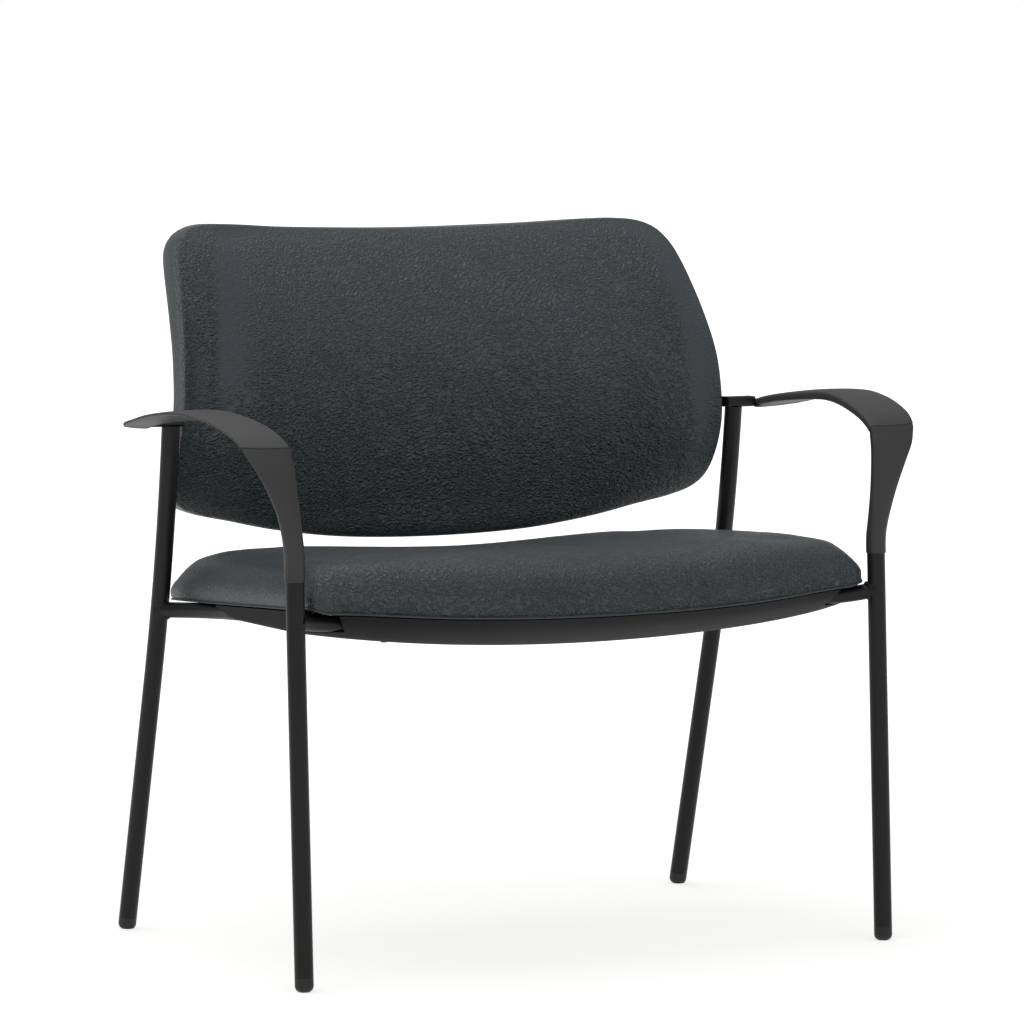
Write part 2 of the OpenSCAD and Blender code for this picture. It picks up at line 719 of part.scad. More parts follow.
// Ring of a station: the rim, the top face or its recess, and the underside
function arm_ring(k) =
    let (depth = k >= pad_first && k <= pad_last ? pad_depth_share : 0, lip = pad_edge_share / 2)
    concat(
        [for (w = rim_angles) edge_point(k, w)],
        [arm_point(k, 1 - lip, top_depth(k, 1 - lip))],
        [for (a = recess_shares) arm_point(k, a, top_depth(k, a) + depth)],
        [arm_point(k, lip, top_depth(k, lip))],
        [for (w = under_angles) edge_point(k, w)]
    );

// Ring of the hole for the stud's pin, at a height over the socket end
pin_play = 0.8;
function pin_ring(h) = [
    for (q = arm_ring(0))
        let (share = (stud_pin_d + pin_play) / sleeve_d)
        [mix(leg_x, q[0], share), mix(sleeve_y, q[1], share), sleeve_h + h]
];

// The arm with the hole in its socket end
module arm_form() {
    last = len(arm_rows) - 1;
    hole_l = stud_pin_l + fit_gap;
    loft(concat([pin_ring(hole_l), pin_ring(0)], [for (k = [0:last]) arm_ring(k)]),
        [leg_x, sleeve_y, sleeve_h + hole_l], arm_point(last, 0.5, 0.5));
}

function pad_ring(k) =
    let (e = pad_edge_share + pad_play / arm_w, shares = concat([1 - e], across_shares, [e]))
    concat(
        [for (a = shares) arm_point(k, a, top_depth(k, a))],
        [for (i = [len(shares) - 1:-1:0])
            let (a = shares[i], low = pad_depth_share - pad_play / arm_thickness(k, a))
            arm_point(k, a, top_depth(k, a) + low)]
    );

module pad_form() {
    loft([for (k = [pad_first:pad_last]) pad_ring(k)],
        arm_point(pad_first, 0.5, pad_depth_share / 2), arm_point(pad_last, 0.5, pad_depth_share / 2));
}

// Tang of the back bracket in the arm's underside
tang_l = 11;
tang_d = 11;
tang_t = 4;
tang_lift = 0.6;
tang_back = 9;
tang_y = upright_y - tang_back;
arm_end_share = 0.415;
bar_x1 = leg_x + arm_end_share * arm_w - soft_gap;

module tang(extra) {
    translate([bar_x1 - over, tang_y - tang_d / 2 - extra, upright_h + tang_lift - extra])
        cube([tang_l + over + extra, tang_d + 2 * extra, tang_t + 2 * extra]);
}

module arm(side) {
    color(arm_grey) on_side(side) difference() {
        arm_form();
        tang(fit_gap);
    }
}

module arm_pad(side) {
    color(arm_grey) on_side(side) pad_form();
}

// Stud in the bore of the front leg, with a pin up into the arm
module arm_stud(side) {
    color(zinc) on_side(side) translate([leg_x, sleeve_y, sleeve_h]) {
        rotate([-front_rake, 0, 0]) translate([0, 0, -stud_l]) cylinder(d = stud_d, h = stud_l - over);
        translate([0, 0, -over]) cylinder(d = stud_pin_d, h = stud_pin_l + over);
    }
}

// Back: a sheet that leans and wraps, with tables over its height from the lower to the upper edge.
// Setback of its middle line behind the upright's top, over the back's height
setback_shares = [0.161, 0.170, 0.164, 0.153, 0.147, 0.154, 0.174, 0.212, 0.262, 0.322, 0.394];
// Advance of its sides before its middle line, over the back's height
wrap_shares = [0.026, 0.055, 0.095, 0.132, 0.153, 0.160, 0.161, 0.161, 0.162, 0.165, 0.169];
// Thickness of the side band, over the back's height
band_shares = [0.092, 0.093, 0.095, 0.096, 0.097, 0.100, 0.106, 0.117, 0.127, 0.137, 0.145];
// Right half of the back seen from the front, as shares of its half width and its height
back_half_shares = [
    [0, 0], [0.322, 0.010], [0.573, 0.040], [0.756, 0.077], [0.876, 0.102], [0.958, 0.135],
    [0.994, 0.195], [1, 0.32], [0.991, 0.453], [0.983, 0.56], [0.969, 0.662], [0.951, 0.767],
    [0.929, 0.87], [0.905, 0.939], [0.866, 0.98], [0.788, 1], [0.639, 0.998], [0.40, 0.985], [0, 0.977],
];
back_outline = closed_curve(mirrored(back_half_shares), 2);

// Front face of the sheet at a point seen from the front
function sheet_y(x, z) =
    let (v = (z - back_z) / back_h)
    upright_y + back_h * (along(setback_shares, v) - along(wrap_shares, v) * pow(x / back_half, 2));
function band_t(z) = back_h * along(band_shares, (z - back_z) / back_h);

function back_xz(p, inset) = [
    p[0] * (back_half - inset),
    back_z + inset + p[1] * (back_h - 2 * inset),
];

// Ring of the back: drawn in by inset and by draw at its upper corners, behind the sheet by a depth
// plus a share of the band
corner_spread = 3;
function back_corner(p) = min(1, corner_spread * pow(abs(p[0]), 6) * pow(max(0, p[1]), 10));
function back_ring(inset, depth, share, draw = 0) = [
    for (p = back_outline)
        let (q = back_xz(p, inset + draw * back_corner(p)))
        [q[0], sheet_y(q[0], q[1]) + depth + share * band_t(q[1]), q[1]]
];

function back_centre(depth, share) =
    let (z = back_z + back_h / 2) [0, sheet_y(0, z) + depth + share * band_t(z), z];

// Inset over the back's height of the rings that carry a flat face's curve inwards
layer_inset_shares = [0.3, 0.12, 0];

module back_layer(inset, depth0, depth1, share1) {
    last = len(layer_inset_shares) - 1;
    loft(concat(
        [for (k = [0:last]) back_ring(inset + back_h * layer_inset_shares[k], depth0, 0)],
        [for (k = [last:-1:0]) back_ring(inset + back_h * layer_inset_shares[k], depth1, share1)]
    ), back_centre(depth0, 0), back_centre(depth1, share1));
}

// Inset over the back's height and share of the crown of the padded face's rings
face_inset_shares = [0.40, 0.27, 0.15, 0.07, 0.025];
face_crown_shares = [1, 0.96, 0.82, 0.55, 0.25];
// Inset over the panel's inset and depth over the band of the rings round the side and the rear
band_inset_shares = [0, 0, 0.07, 0.2, 1];
band_depth_shares = [0, 0.5, 0.9, 1, 1];
band_corner_shares = [0, 0.2, 0.85, 1, 0];
panel_inset = 14;
layer_play = 2;
rear_corner_draw = 9;

// Padded front with its side band, and the pocket for the board and the panel behind it
module back_form() {
    pocket = back_foam_t - layer_play;
    loft(concat(
        [for (k = [0:len(face_inset_shares) - 1])
            back_ring(face_inset_shares[k] * back_h, -face_crown_shares[k] * back_crown, 0)],
        [for (k = [0:len(band_inset_shares) - 1])
            back_ring(band_inset_shares[k] * panel_inset, 0, band_depth_shares[k],
                rear_corner_draw * band_corner_shares[k])],
        [for (k = [len(layer_inset_shares) - 1:-1:0])
            back_ring(panel_inset + back_h * layer_inset_shares[k], pocket, 0)]
    ), back_centre(-back_crown, 0), back_centre(pocket, 0));
}

// Room of the bracket, its bolts and its strap in the cushion and the rear panel
room_play = 2;

module bracket_room() {
    room_y = plate_t + bolt_head_h + room_play;
    at_plate() translate([-plate_w / 2 - room_play, -room_y, -plate_h / 2 - room_play])
        cube([plate_w + 2 * room_play, room_y + back_board_t, plate_h + 2 * room_play]);
    at_plate() translate([0, -plate_t - 2 * soft_gap, -strap_h / 2 - soft_gap])
        cube([plate_w + tube_d, plate_t + 4 * soft_gap, strap_h + 2 * soft_gap]);
    at_plate_bolts() translate([0, back_board_t - over, 0]) rotate([-90, 0, 0])
        cylinder(d = nut_flange_d + room_play, h = nut_flange_h + room_play + over, $fn = 24);
}

module back_cushion() {
    color(vinyl) placed() difference() {
        back_form();
        both_sides() bracket_room();
    }
}

module back_rear_panel() {
    color(vinyl) placed() difference() {
        back_layer(panel_inset + soft_gap, back_foam_t + back_board_t + layer_play, 0, 1);
        both_sides() bracket_room();
    }
}

module back_board() {
    color(wood) placed() difference() {
        back_layer(panel_inset + soft_gap, back_foam_t, back_foam_t + back_board_t, 0);
        both_sides() at_plate() translate([-plate_w / 2 - fit_gap, -plate_t, -plate_h / 2 - fit_gap])
            cube([plate_w + 2 * fit_gap, plate_t, plate_h + 2 * fit_gap]);
        both_sides() at_plate_bolts() rotate([-90, 0, 0]) translate([0, 0, -over])
            cylinder(d = nut_barrel_d, h = back_board_t + 3 * over, $fn = 24);
        both_sides() at_plate_bolts() rotate([-90, 0, 0]) translate([0, 0, back_board_t + nut_play - fit_gap])
            cylinder(d = nut_flange_d + 2 * fit_gap, h = back_board_t, $fn = 24);
    }
}

// Bracket: a bar over the upright's top, a tang into the arm and a plate on the back board
plate_w = 76;
plate_h = 44;
plate_t = 4;
plate_inset = 58;
plate_x = back_half - plate_inset;
plate_z = upright_h + bar_h / 2;
plate_wrap = along(wrap_shares, (plate_z - back_z) / back_h);
plate_turn = atan(2 * back_h * plate_wrap * plate_x / (back_half * back_half));
plate_bolt_gap = 40;
// Strap from the plate out through the side band, and the lug behind the bar that it ends on
strap_h = 11;
lug_t = 7;
lug_l = 26;
lug_h = (bar_h + strap_h) / 2;
bar_gap = 2;
// Play of the bracket nuts behind the curved board
nut_play = 1.5;
block_x0 = back_half + bar_gap;

// Frame of the plate's rear face, with Y into the board
module at_plate() {
    translate([plate_x, sheet_y(plate_x, plate_z) + back_foam_t - soft_gap, plate_z])
        rotate([0, 0, -plate_turn]) children();
}

module at_plate_bolts() {
    at_plate() for (x = [-plate_bolt_gap / 2, plate_bolt_gap / 2]) translate([x, 0, 0]) children();
}

module rounded_2d(w, h, r) {
    square([w - 2 * r, h], center = true);
    square([w, h - 2 * r], center = true);
    for (x = [-1, 1], y = [-1, 1]) translate([x * (w / 2 - r), y * (h / 2 - r)]) circle(r = r);
}

module back_bracket(side) {
    bar_r = bar_h / 4;
    color(black_steel) on_side(side) {
        translate([block_x0, upright_y, plate_z]) rotate([90, 0, 90])
            linear_extrude(bar_x1 - block_x0) rounded_2d(bar_d, bar_h, bar_r);
        translate([block_x0, upright_y, plate_z - lug_h / 2]) cube([lug_t, lug_l, lug_h]);
        at_plate() translate([plate_w / 2 - over, -plate_t, -strap_h / 2])
            cube([(block_x0 + lug_t - over - plate_x) / cos(plate_turn) - plate_w / 2, plate_t, strap_h]);
        tang(0);
        difference() {
            at_plate() translate([-plate_w / 2, -plate_t, -plate_h / 2]) cube([plate_w, plate_t, plate_h]);
            at_plate_bolts() translate([0, over, 0]) rotate([90, 0, 0])
                cylinder(d = bolt_d + bolt_clear, h = plate_t + 2 * over);
        }
    }
}

module bracket_bolts() {
    color(zinc) placed() both_sides() at_plate_bolts() rotate([-90, 0, 0]) {
        translate([0, 0, -plate_t - bolt_head_h]) cylinder(d = bolt_head_d, h = bolt_head_h);
        translate([0, 0, -plate_t]) cylinder(d = bolt_d, h = plate_t + back_board_t);
    }
}

module bracket_nuts() {
    color(zinc) placed() both_sides() at_plate_bolts() rotate([-90, 0, 0]) difference() {
        union() {
            translate([0, 0, nut_play]) cylinder(d = nut_barrel_d - 2 * fit_gap, h = back_board_t);
            translate([0, 0, back_board_t + nut_play]) cylinder(d = nut_flange_d, h = nut_flange_h);
        }
        cylinder(d = bolt_d + 2 * fit_gap, h = back_board_t + nut_flange_h + 2 * nut_play);
    }
}

front_leg(-1);  // front_leg_left
front_leg(1);  // front_leg_right
rear_leg(-1);  // rear_leg_left
rear_leg(1);  // rear_leg_right
side_rail(-1);  // side_rail_left
side_rail(1);  // side_rail_right
front_cross_rail();
rear_cross_rail();
seat_tabs();
glide_front(-1);  // glide_front_left
glide_front(1);  // glide_front_right
glide_rear(-1);  // glide_rear_left
glide_rear(1);  // glide_rear_right
arm(-1);  // arm_left
arm(1);  // arm_right
arm_pad(-1);  // arm_pad_left
arm_pad(1);  // arm_pad_right
arm_stud(-1);  // arm_stud_left
arm_stud(1);  // arm_stud_right
back_bracket(-1);  // back_bracket_left
back_bracket(1);  // back_bracket_right
bracket_bolts();
bracket_nuts();
back_board();
back_cushion();
back_rear_panel();
seat_board();
seat_cushion();
seat_bolts();
seat_nuts();
seat_pan();
pan_screws();
pan_blocks();
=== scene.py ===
"""Reception chair: upholstery, arms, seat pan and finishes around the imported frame, with a plain studio."""

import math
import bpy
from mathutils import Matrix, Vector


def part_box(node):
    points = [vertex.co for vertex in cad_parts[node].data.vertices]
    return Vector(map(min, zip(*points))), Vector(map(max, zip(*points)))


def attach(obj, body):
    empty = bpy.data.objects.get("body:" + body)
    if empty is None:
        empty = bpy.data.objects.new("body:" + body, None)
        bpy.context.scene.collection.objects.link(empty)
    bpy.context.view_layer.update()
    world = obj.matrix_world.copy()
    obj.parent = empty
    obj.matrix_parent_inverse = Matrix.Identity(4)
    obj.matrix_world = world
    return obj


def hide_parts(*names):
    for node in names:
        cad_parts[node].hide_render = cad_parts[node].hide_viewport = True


bl_info = {
    "name": "Reception Chair",
    "version": (1, 0, 0),
    "blender": (4, 5, 0),
    "location": "View3D > Sidebar > Chair",
    "description": "Builds a wide reception chair with swept arms and a padded seat and back",
    "category": "Add Mesh",
}

from contextlib import contextmanager

import bmesh
import bpy
import numpy as np
from bpy.props import FloatProperty, FloatVectorProperty, PointerProperty
from mathutils import Vector
from mathutils.kdtree import KDTree

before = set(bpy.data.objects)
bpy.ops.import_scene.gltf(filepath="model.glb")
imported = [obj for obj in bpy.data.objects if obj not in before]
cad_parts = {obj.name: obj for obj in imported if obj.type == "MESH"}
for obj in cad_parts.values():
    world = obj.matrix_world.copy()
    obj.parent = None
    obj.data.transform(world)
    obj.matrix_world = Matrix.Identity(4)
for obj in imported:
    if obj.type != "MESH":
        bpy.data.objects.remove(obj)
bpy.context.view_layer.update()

# Places on the frame, in metres. In the tables Y runs from the front feet to the rear, and MID_Y is
# where the frame's origin lies on it.
MM = 0.001
MID_Y = 0.269687
LEG_X = (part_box("front_leg_right")[0].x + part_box("front_leg_right")[1].x) / 2
LEG_R = 0.011
FRONT_RAKE, REAR_RAKE = math.radians(2.7), math.radians(14.8)
FOOT_SPREAD, KNEE_H = 0.509, 0.320
UPRIGHT_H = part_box("rear_leg_right")[1].z
UPRIGHT_RAKE = math.radians(6)
BEND_R = (UPRIGHT_H - KNEE_H) / (math.sin(REAR_RAKE) - math.sin(UPRIGHT_RAKE))
SLEEVE_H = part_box("front_leg_right")[1].z
SLEEVE_Y = SLEEVE_H * math.tan(FRONT_RAKE)
UPRIGHT_Y = 0.36774
SEAT_HALF = 0.373
SEAT_Y0, SEAT_Y1, SEAT_H = -0.032, 0.460, 0.411
SEAT_D = SEAT_Y1 - SEAT_Y0
SEAT_SLOPE = math.tan(math.radians(3.3))
BACK_HALF, BACK_Z, BACK_H = 0.3755, 0.475, 0.391
FOAM_T, BOARD_T = 0.020, 0.010
RAIL_R = 0.0095
# The frame's origin in the tables, the play round the boards, and the steps between two points of a curve
ORIGIN = (0, MID_Y, 0)
PLAY = 0.3 * MM
CURVE_STEPS = 8


# Curves


def blend(p, q, r, s, t):
    """Smooth curve through four points, between the second and the third."""
    square, cube = 2 * p - 5 * q + 4 * r - s, 3 * q - p - 3 * r + s
    return 0.5 * (2 * q + (r - p) * t + square * t**2 + cube * t**3)


def closed_curve(points, steps):
    """Closed smooth curve through the points."""
    pts, m = np.array(points, float), len(points)
    curve = [
        blend(pts[i - 1], pts[i], pts[(i + 1) % m], pts[(i + 2) % m], k / steps)
        for i in range(m)
        for k in range(steps)
    ]
    return np.array(curve)


def open_curve(rows, steps):
    """Open smooth run through the rows."""
    r, m = np.array(rows, float), len(rows) - 1
    run = [
        blend(r[max(i - 1, 0)], r[i], r[i + 1], r[min(i + 2, m)], k / steps)
        for i in range(m)
        for k in range(steps)
    ]
    return np.array(run + [r[m]])


def along(table, v):
    """Value of an evenly spaced table at v from 0 to 1."""
    t, m = np.array(table, float), len(table) - 1
    w = np.clip(np.asarray(v, float), 0, 1) * m
    i = np.minimum(np.floor(w).astype(int), m - 1)
    return blend(t[np.maximum(i - 1, 0)], t[i], t[i + 1], t[np.minimum(i + 2, m)], w - i)


def even_outline(half, half_width, height, count):
    """Whole smooth outline from its right half, in shares, with its points evenly spaced in real size."""
    outline = closed_curve(list(half) + [[-x, y] for x, y in half[-2:0:-1]], CURVE_STEPS)
    closed = np.vstack([outline, outline[:1]])
    step = np.linalg.norm(np.diff(closed * (half_width, height), axis=0), axis=1)
    run = np.concatenate([[0], np.cumsum(step)])
    at = np.linspace(0, run[-1], count, endpoint=False)
    return np.column_stack([np.interp(at, run, closed[:, 0]), np.interp(at, run, closed[:, 1])])


def ease(value, low, high):
    """0 at low, 1 at high, and smooth between them."""
    t = np.clip((np.asarray(value, float) - low) / (high - low), 0, 1)
    return t * t * (3 - 2 * t)


# Modelling


def clear():
    if bpy.context.mode != "OBJECT":
        bpy.ops.object.mode_set(mode="OBJECT")
    bpy.ops.object.select_all(action="DESELECT")


def only(piece):
    clear()
    piece.select_set(True)
    bpy.context.view_layer.objects.active = piece


def named(piece, name):
    piece.name = name
    piece.data.name = name
    return piece


def coordinates(piece):
    co = np.zeros(len(piece.data.vertices) * 3)
    piece.data.vertices.foreach_get("co", co)
    return co.reshape(-1, 3)


def set_coordinates(piece, co):
    piece.data.vertices.foreach_set("co", np.asarray(co, float).ravel())
    piece.data.update()


@contextmanager
def editing(piece):
    """Edit mode on the piece, with all of it selected."""
    only(piece)
    bpy.ops.object.mode_set(mode="EDIT")
    bpy.ops.mesh.select_all(action="SELECT")
    yield
    bpy.ops.object.mode_set(mode="OBJECT")


def faced_out(piece):
    with editing(piece):
        bpy.ops.mesh.normals_make_consistent(inside=False)
    return piece


def ringed(name, rings):
    """A circle extruded ring by ring, each new ring set to its station, with both ends drawn to a point.
    The rings give Y from the front feet."""
    rings = [ring - ORIGIN for ring in rings]
    clear()
    bpy.ops.mesh.primitive_circle_add(vertices=len(rings[0]), radius=1, fill_type="NOTHING")
    piece = named(bpy.context.object, name)
    set_coordinates(piece, rings[0])
    order = {i: i for i in range(len(rings[0]))}
    with editing(piece):
        for ring in rings[1:]:
            bpy.ops.mesh.extrude_region_move()
            bm = bmesh.from_edit_mesh(piece.data)
            bm.verts.ensure_lookup_table()
            new = {}
            for v in bm.verts:
                if v.select:
                    old = next(e.other_vert(v) for e in v.link_edges if not e.other_vert(v).select)
                    new[v.index] = order[old.index]
            for index, place in new.items():
                bm.verts[index].co = Vector(ring[place])
            order = new
            bmesh.update_edit_mesh(piece.data)
        bpy.ops.mesh.extrude_region_move()
        bpy.ops.mesh.merge(type="CENTER")
        bpy.ops.mesh.select_all(action="DESELECT")
        bpy.ops.mesh.select_non_manifold()
        bpy.ops.mesh.extrude_region_move()
        bpy.ops.mesh.merge(type="CENTER")
    return faced_out(piece)


def apply_modifier(piece, kind, name, **settings):
    only(piece)
    modifier = piece.modifiers.new(name, kind)
    for key, value in settings.items():
        setattr(modifier, key, value)
    bpy.ops.object.modifier_apply(modifier=name)


def smooth(piece, angle=180):
    only(piece)
    if angle >= 180:
        bpy.ops.object.shade_smooth()
    else:
        bpy.ops.object.shade_smooth_by_angle(angle=math.radians(angle))


def mirror_copy(piece, name):
    """The same piece on the chair's left side, with its own mesh."""
    only(piece)
    bpy.ops.object.duplicate()
    other = named(bpy.context.object, name)
    set_coordinates(other, coordinates(other) * (-1, 1, 1))
    with editing(other):
        bpy.ops.mesh.flip_normals()
    return other


def cut_off(piece, place, normal):
    """Bisects the piece, drops what lies on the normal's side and closes the cut."""
    with editing(piece):
        bpy.ops.mesh.bisect(plane_co=place, plane_no=normal, use_fill=True, clear_outer=True)


def prism(name, outline, y0, y1):
    """An outline in X and Z extruded along Y."""
    clear()
    bpy.ops.mesh.primitive_circle_add(vertices=len(outline), radius=1, fill_type="NGON")
    piece = named(bpy.context.object, name)
    set_coordinates(piece, [(x, y0, z) for x, z in outline])
    with editing(piece):
        bpy.ops.mesh.extrude_region_move(TRANSFORM_OT_translate={"value": (0, y1 - y0, 0)})
    return faced_out(piece)


def cut_out(piece, cutter):
    apply_modifier(piece, "BOOLEAN", "Cut", operation="DIFFERENCE", object=cutter, solver="EXACT")
    bpy.data.objects.remove(cutter)


def paint(piece, name, values):
    """Writes one value per point of the mesh, for the materials to read."""
    attribute = piece.data.attributes.new(name, "FLOAT", "POINT")
    attribute.data.foreach_set("value", np.asarray(values, np.float32))


# The cloth's settings and frames, the least weight that holds a place, the furthest that a place moves,
# and how many places of the skin move one of the piece
CLOTH = {
    "quality": 5, "mass": 0.3, "tension_stiffness": 30, "compression_stiffness": 30, "shear_stiffness": 15,
    "bending_stiffness": 4, "use_pressure": True, "uniform_pressure_force": 4.0, "vertex_group_mass": "held",
}
CLOTH_FRAMES = 20
LEAST_HELD, SWELL_CAP, NEAREST = 0.001, 3.5 * MM, 8


def swell(piece, voxel, held):
    """Cloth under inner pressure, run on an evenly meshed skin, whose movement the piece then takes.
    Held gives each place a weight from 0, free, to 1, fixed."""
    only(piece)
    bpy.ops.object.duplicate()
    skin = named(bpy.context.object, piece.name + "_skin")
    apply_modifier(skin, "REMESH", "Even", mode="VOXEL", voxel_size=voxel)
    rest = coordinates(skin)
    group = skin.vertex_groups.new(name="held")
    for i, weight in enumerate(held(rest)):
        if weight > LEAST_HELD:
            group.add([i], float(weight), "REPLACE")
    only(skin)
    cloth = skin.modifiers.new("Cloth", "CLOTH")
    for key, value in CLOTH.items():
        setattr(cloth.settings, key, value)
    cloth.settings.effector_weights.gravity = 0
    cloth.collision_settings.use_collision = False
    for step in range(1, CLOTH_FRAMES + 1):
        bpy.context.scene.frame_set(step)
    bpy.ops.object.modifier_apply(modifier="Cloth")
    move = coordinates(skin) - rest
    bpy.context.scene.frame_set(1)
    length = np.linalg.norm(move, axis=1, keepdims=True)
    move *= SWELL_CAP * np.tanh(length / SWELL_CAP) / np.maximum(length, 1e-9)
    tree = KDTree(len(rest))
    for i, place in enumerate(rest):
        tree.insert(place, i)
    tree.balance()
    co = coordinates(piece)
    for place, stay in zip(co, held(co)):
        near = tree.find_n(place, NEAREST)
        weights = np.array([1 / (distance + voxel / 2) for _, _, distance in near])
        shift = weights @ move[[i for _, i, _ in near]] / weights.sum()
        place += shift * (1 - stay)
    set_coordinates(piece, co)
    bpy.data.objects.remove(skin)


# Node groups


def new_group(name, inputs, outputs):
    group = bpy.data.node_groups.new(name, "ShaderNodeTree")
    for label, kind, default in inputs:
        socket = group.interface.new_socket(label, in_out="INPUT", socket_type=kind)
        if default is not None:
            socket.default_value = default
    for label, kind in outputs:
        group.interface.new_socket(label, in_out="OUTPUT", socket_type=kind)
    return group, group.nodes.new("NodeGroupInput"), group.nodes.new("NodeGroupOutput")


def feed(tree, socket, value):
    if isinstance(value, bpy.types.NodeSocket):
        tree.links.new(value, socket)
    elif value is not None:
        socket.default_value = value


def add_node(tree, kind, **inputs):
    """A shader node with its inputs fed by name. An underscore stands for a space."""
    node = tree.nodes.new("ShaderNode" + kind)
    for label, value in inputs.items():
        feed(tree, node.inputs[label.replace("_", " ")], value)
    return node


def math_node(tree, operation, *values):
    node = tree.nodes.new("ShaderNodeMath")
    node.operation = operation
    for socket, value in zip(node.inputs, values):
        feed(tree, socket, value)
    return node.outputs[0]


def vector_node(tree, operation, a, b=None, scale=None):
    node = tree.nodes.new("ShaderNodeVectorMath")
    node.operation = operation
    feed(tree, node.inputs[0], a)
    if b is not None:
        feed(tree, node.inputs[1], b)
    if scale is not None:
        feed(tree, node.inputs["Scale"], scale)
    return node.outputs[0]


def noise_node(tree, vector, scale, detail=2.0):
    return add_node(tree, "TexNoise", Vector=vector, Scale=scale, Detail=detail)


def step_node(tree, value, low, high, to_low=0.0, to_high=1.0):
    node = add_node(tree, "MapRange", Value=value, From_Min=low, From_Max=high, To_Min=to_low, To_Max=to_high)
    node.interpolation_type = "SMOOTHSTEP"
    return node.outputs["Result"]


def warped(tree, vector, scale, amount):
    """The vector pushed about by a noise of that scale."""
    noise = noise_node(tree, vector, scale)
    centred = vector_node(tree, "SUBTRACT", noise.outputs["Color"], (0.5, 0.5, 0.5))
    return vector_node(tree, "ADD", vector, vector_node(tree, "SCALE", centred, scale=amount))


# Scales of the leather's slow turn, quick warp and cloud, and its stretch along X, Y and Z
TURN_SCALE, WARP_SCALE, CLOUD_SCALE, STRETCH = 7, 80, 6, (1.0, 1.5, 1.9)
# Widths of its cells' rims and of its valleys, and the valleys' share in the creases
RIM, VALLEY, VALLEY_SHARE = 0.35, 0.09, 0.55


def leather_grain():
    """Leather grain: long irregular creases and a fine pebble, as heights, with a slow cloud."""
    if "Leather Grain" in bpy.data.node_groups:
        return bpy.data.node_groups["Leather Grain"]
    group, gin, gout = new_group(
        "Leather Grain",
        [
            ("Vector", "NodeSocketVector", None),
            ("Scale", "NodeSocketFloat", 130),
            ("Turn", "NodeSocketFloat", 0.06),
            ("Warp", "NodeSocketFloat", 0.008),
        ],
        [("Creases", "NodeSocketFloat"), ("Pebble", "NodeSocketFloat"), ("Cloud", "NodeSocketFloat")],
    )
    scale = gin.outputs["Scale"]
    turned = warped(group, gin.outputs["Vector"], TURN_SCALE, gin.outputs["Turn"])
    pushed = warped(group, turned, WARP_SCALE, gin.outputs["Warp"])
    drawn = vector_node(group, "MULTIPLY", pushed, STRETCH)
    cells = add_node(group, "TexVoronoi", Vector=drawn, Scale=scale)
    cells.feature = "DISTANCE_TO_EDGE"
    plump = step_node(group, cells.outputs["Distance"], 0.0, RIM)
    waves = noise_node(group, drawn, math_node(group, "MULTIPLY", scale, 0.8), 1.5)
    ridge = math_node(group, "ABSOLUTE", math_node(group, "SUBTRACT", waves.outputs["Fac"], 0.5))
    valley = step_node(group, ridge, 0.0, VALLEY)
    plump = math_node(group, "MULTIPLY", plump, 1 - VALLEY_SHARE)
    creases = math_node(group, "MULTIPLY_ADD", valley, VALLEY_SHARE, plump)
    pebble = add_node(group, "TexVoronoi", Vector=pushed, Scale=math_node(group, "MULTIPLY", scale, 4.0))
    cloud = noise_node(group, gin.outputs["Vector"], CLOUD_SCALE)
    feed(group, gout.inputs["Creases"], creases)
    feed(group, gout.inputs["Pebble"], math_node(group, "SUBTRACT", 1.0, pebble.outputs["Distance"]))
    feed(group, gout.inputs["Cloud"], cloud.outputs["Fac"])
    return group


def fine_speckle():
    """Fine even grain of moulded plastic or powder coat, as a height and a slow cloud."""
    if "Fine Speckle" in bpy.data.node_groups:
        return bpy.data.node_groups["Fine Speckle"]
    group, gin, gout = new_group(
        "Fine Speckle",
        [
            ("Vector", "NodeSocketVector", None),
            ("Scale", "NodeSocketFloat", 1500),
            ("Detail", "NodeSocketFloat", 2),
        ],
        [("Height", "NodeSocketFloat"), ("Cloud", "NodeSocketFloat")],
    )
    grain = noise_node(group, gin.outputs["Vector"], gin.outputs["Scale"], gin.outputs["Detail"])
    cloud = noise_node(group, gin.outputs["Vector"], 14)
    feed(group, gout.inputs["Height"], grain.outputs["Fac"])
    feed(group, gout.inputs["Cloud"], cloud.outputs["Fac"])
    return group


class Finish:
    """A material in the making: its Principled BSDF and the nodes that feed it."""

    def __init__(self, name, colour, roughness, specular=0.5):
        self.material = bpy.data.materials.new(name)
        self.material.use_nodes = True
        self.tree = self.material.node_tree
        self.bsdf = next(n for n in self.tree.nodes if n.type == "BSDF_PRINCIPLED")
        self.coordinates = self.tree.nodes.new("ShaderNodeTexCoord").outputs["Object"]
        self.set("Base Color", (*colour, 1))
        self.set("Roughness", roughness)
        self.set("Specular IOR Level", specular)

    def set(self, label, value):
        feed(self.tree, self.bsdf.inputs[label], value)

    def place(self, group, **values):
        node = self.tree.nodes.new("ShaderNodeGroup")
        node.node_tree = group
        for key, value in {"Vector": self.coordinates, **values}.items():
            feed(self.tree, node.inputs[key], value)
        return node

    def painted(self, name):
        node = self.tree.nodes.new("ShaderNodeAttribute")
        node.attribute_name = name
        return node.outputs["Fac"]

    def colour(self, fac, dark, light):
        mix = self.tree.nodes.new("ShaderNodeMix")
        mix.data_type = "RGBA"
        mix.inputs["A"].default_value = (*dark, 1)
        mix.inputs["B"].default_value = (*light, 1)
        self.tree.links.new(fac, mix.inputs["Factor"])
        self.set("Base Color", mix.outputs["Result"])

    def roughness(self, value, low, high):
        self.set("Roughness", step_node(self.tree, value, 0.0, 1.0, low, high))

    def bump(self, height, distance, strength=1.0):
        node = add_node(self.tree, "Bump", Distance=distance, Strength=strength, Height=height)
        self.set("Normal", node.outputs["Normal"])


def shades(colour, levels):
    return [tuple(c * level for c in colour) for level in levels]


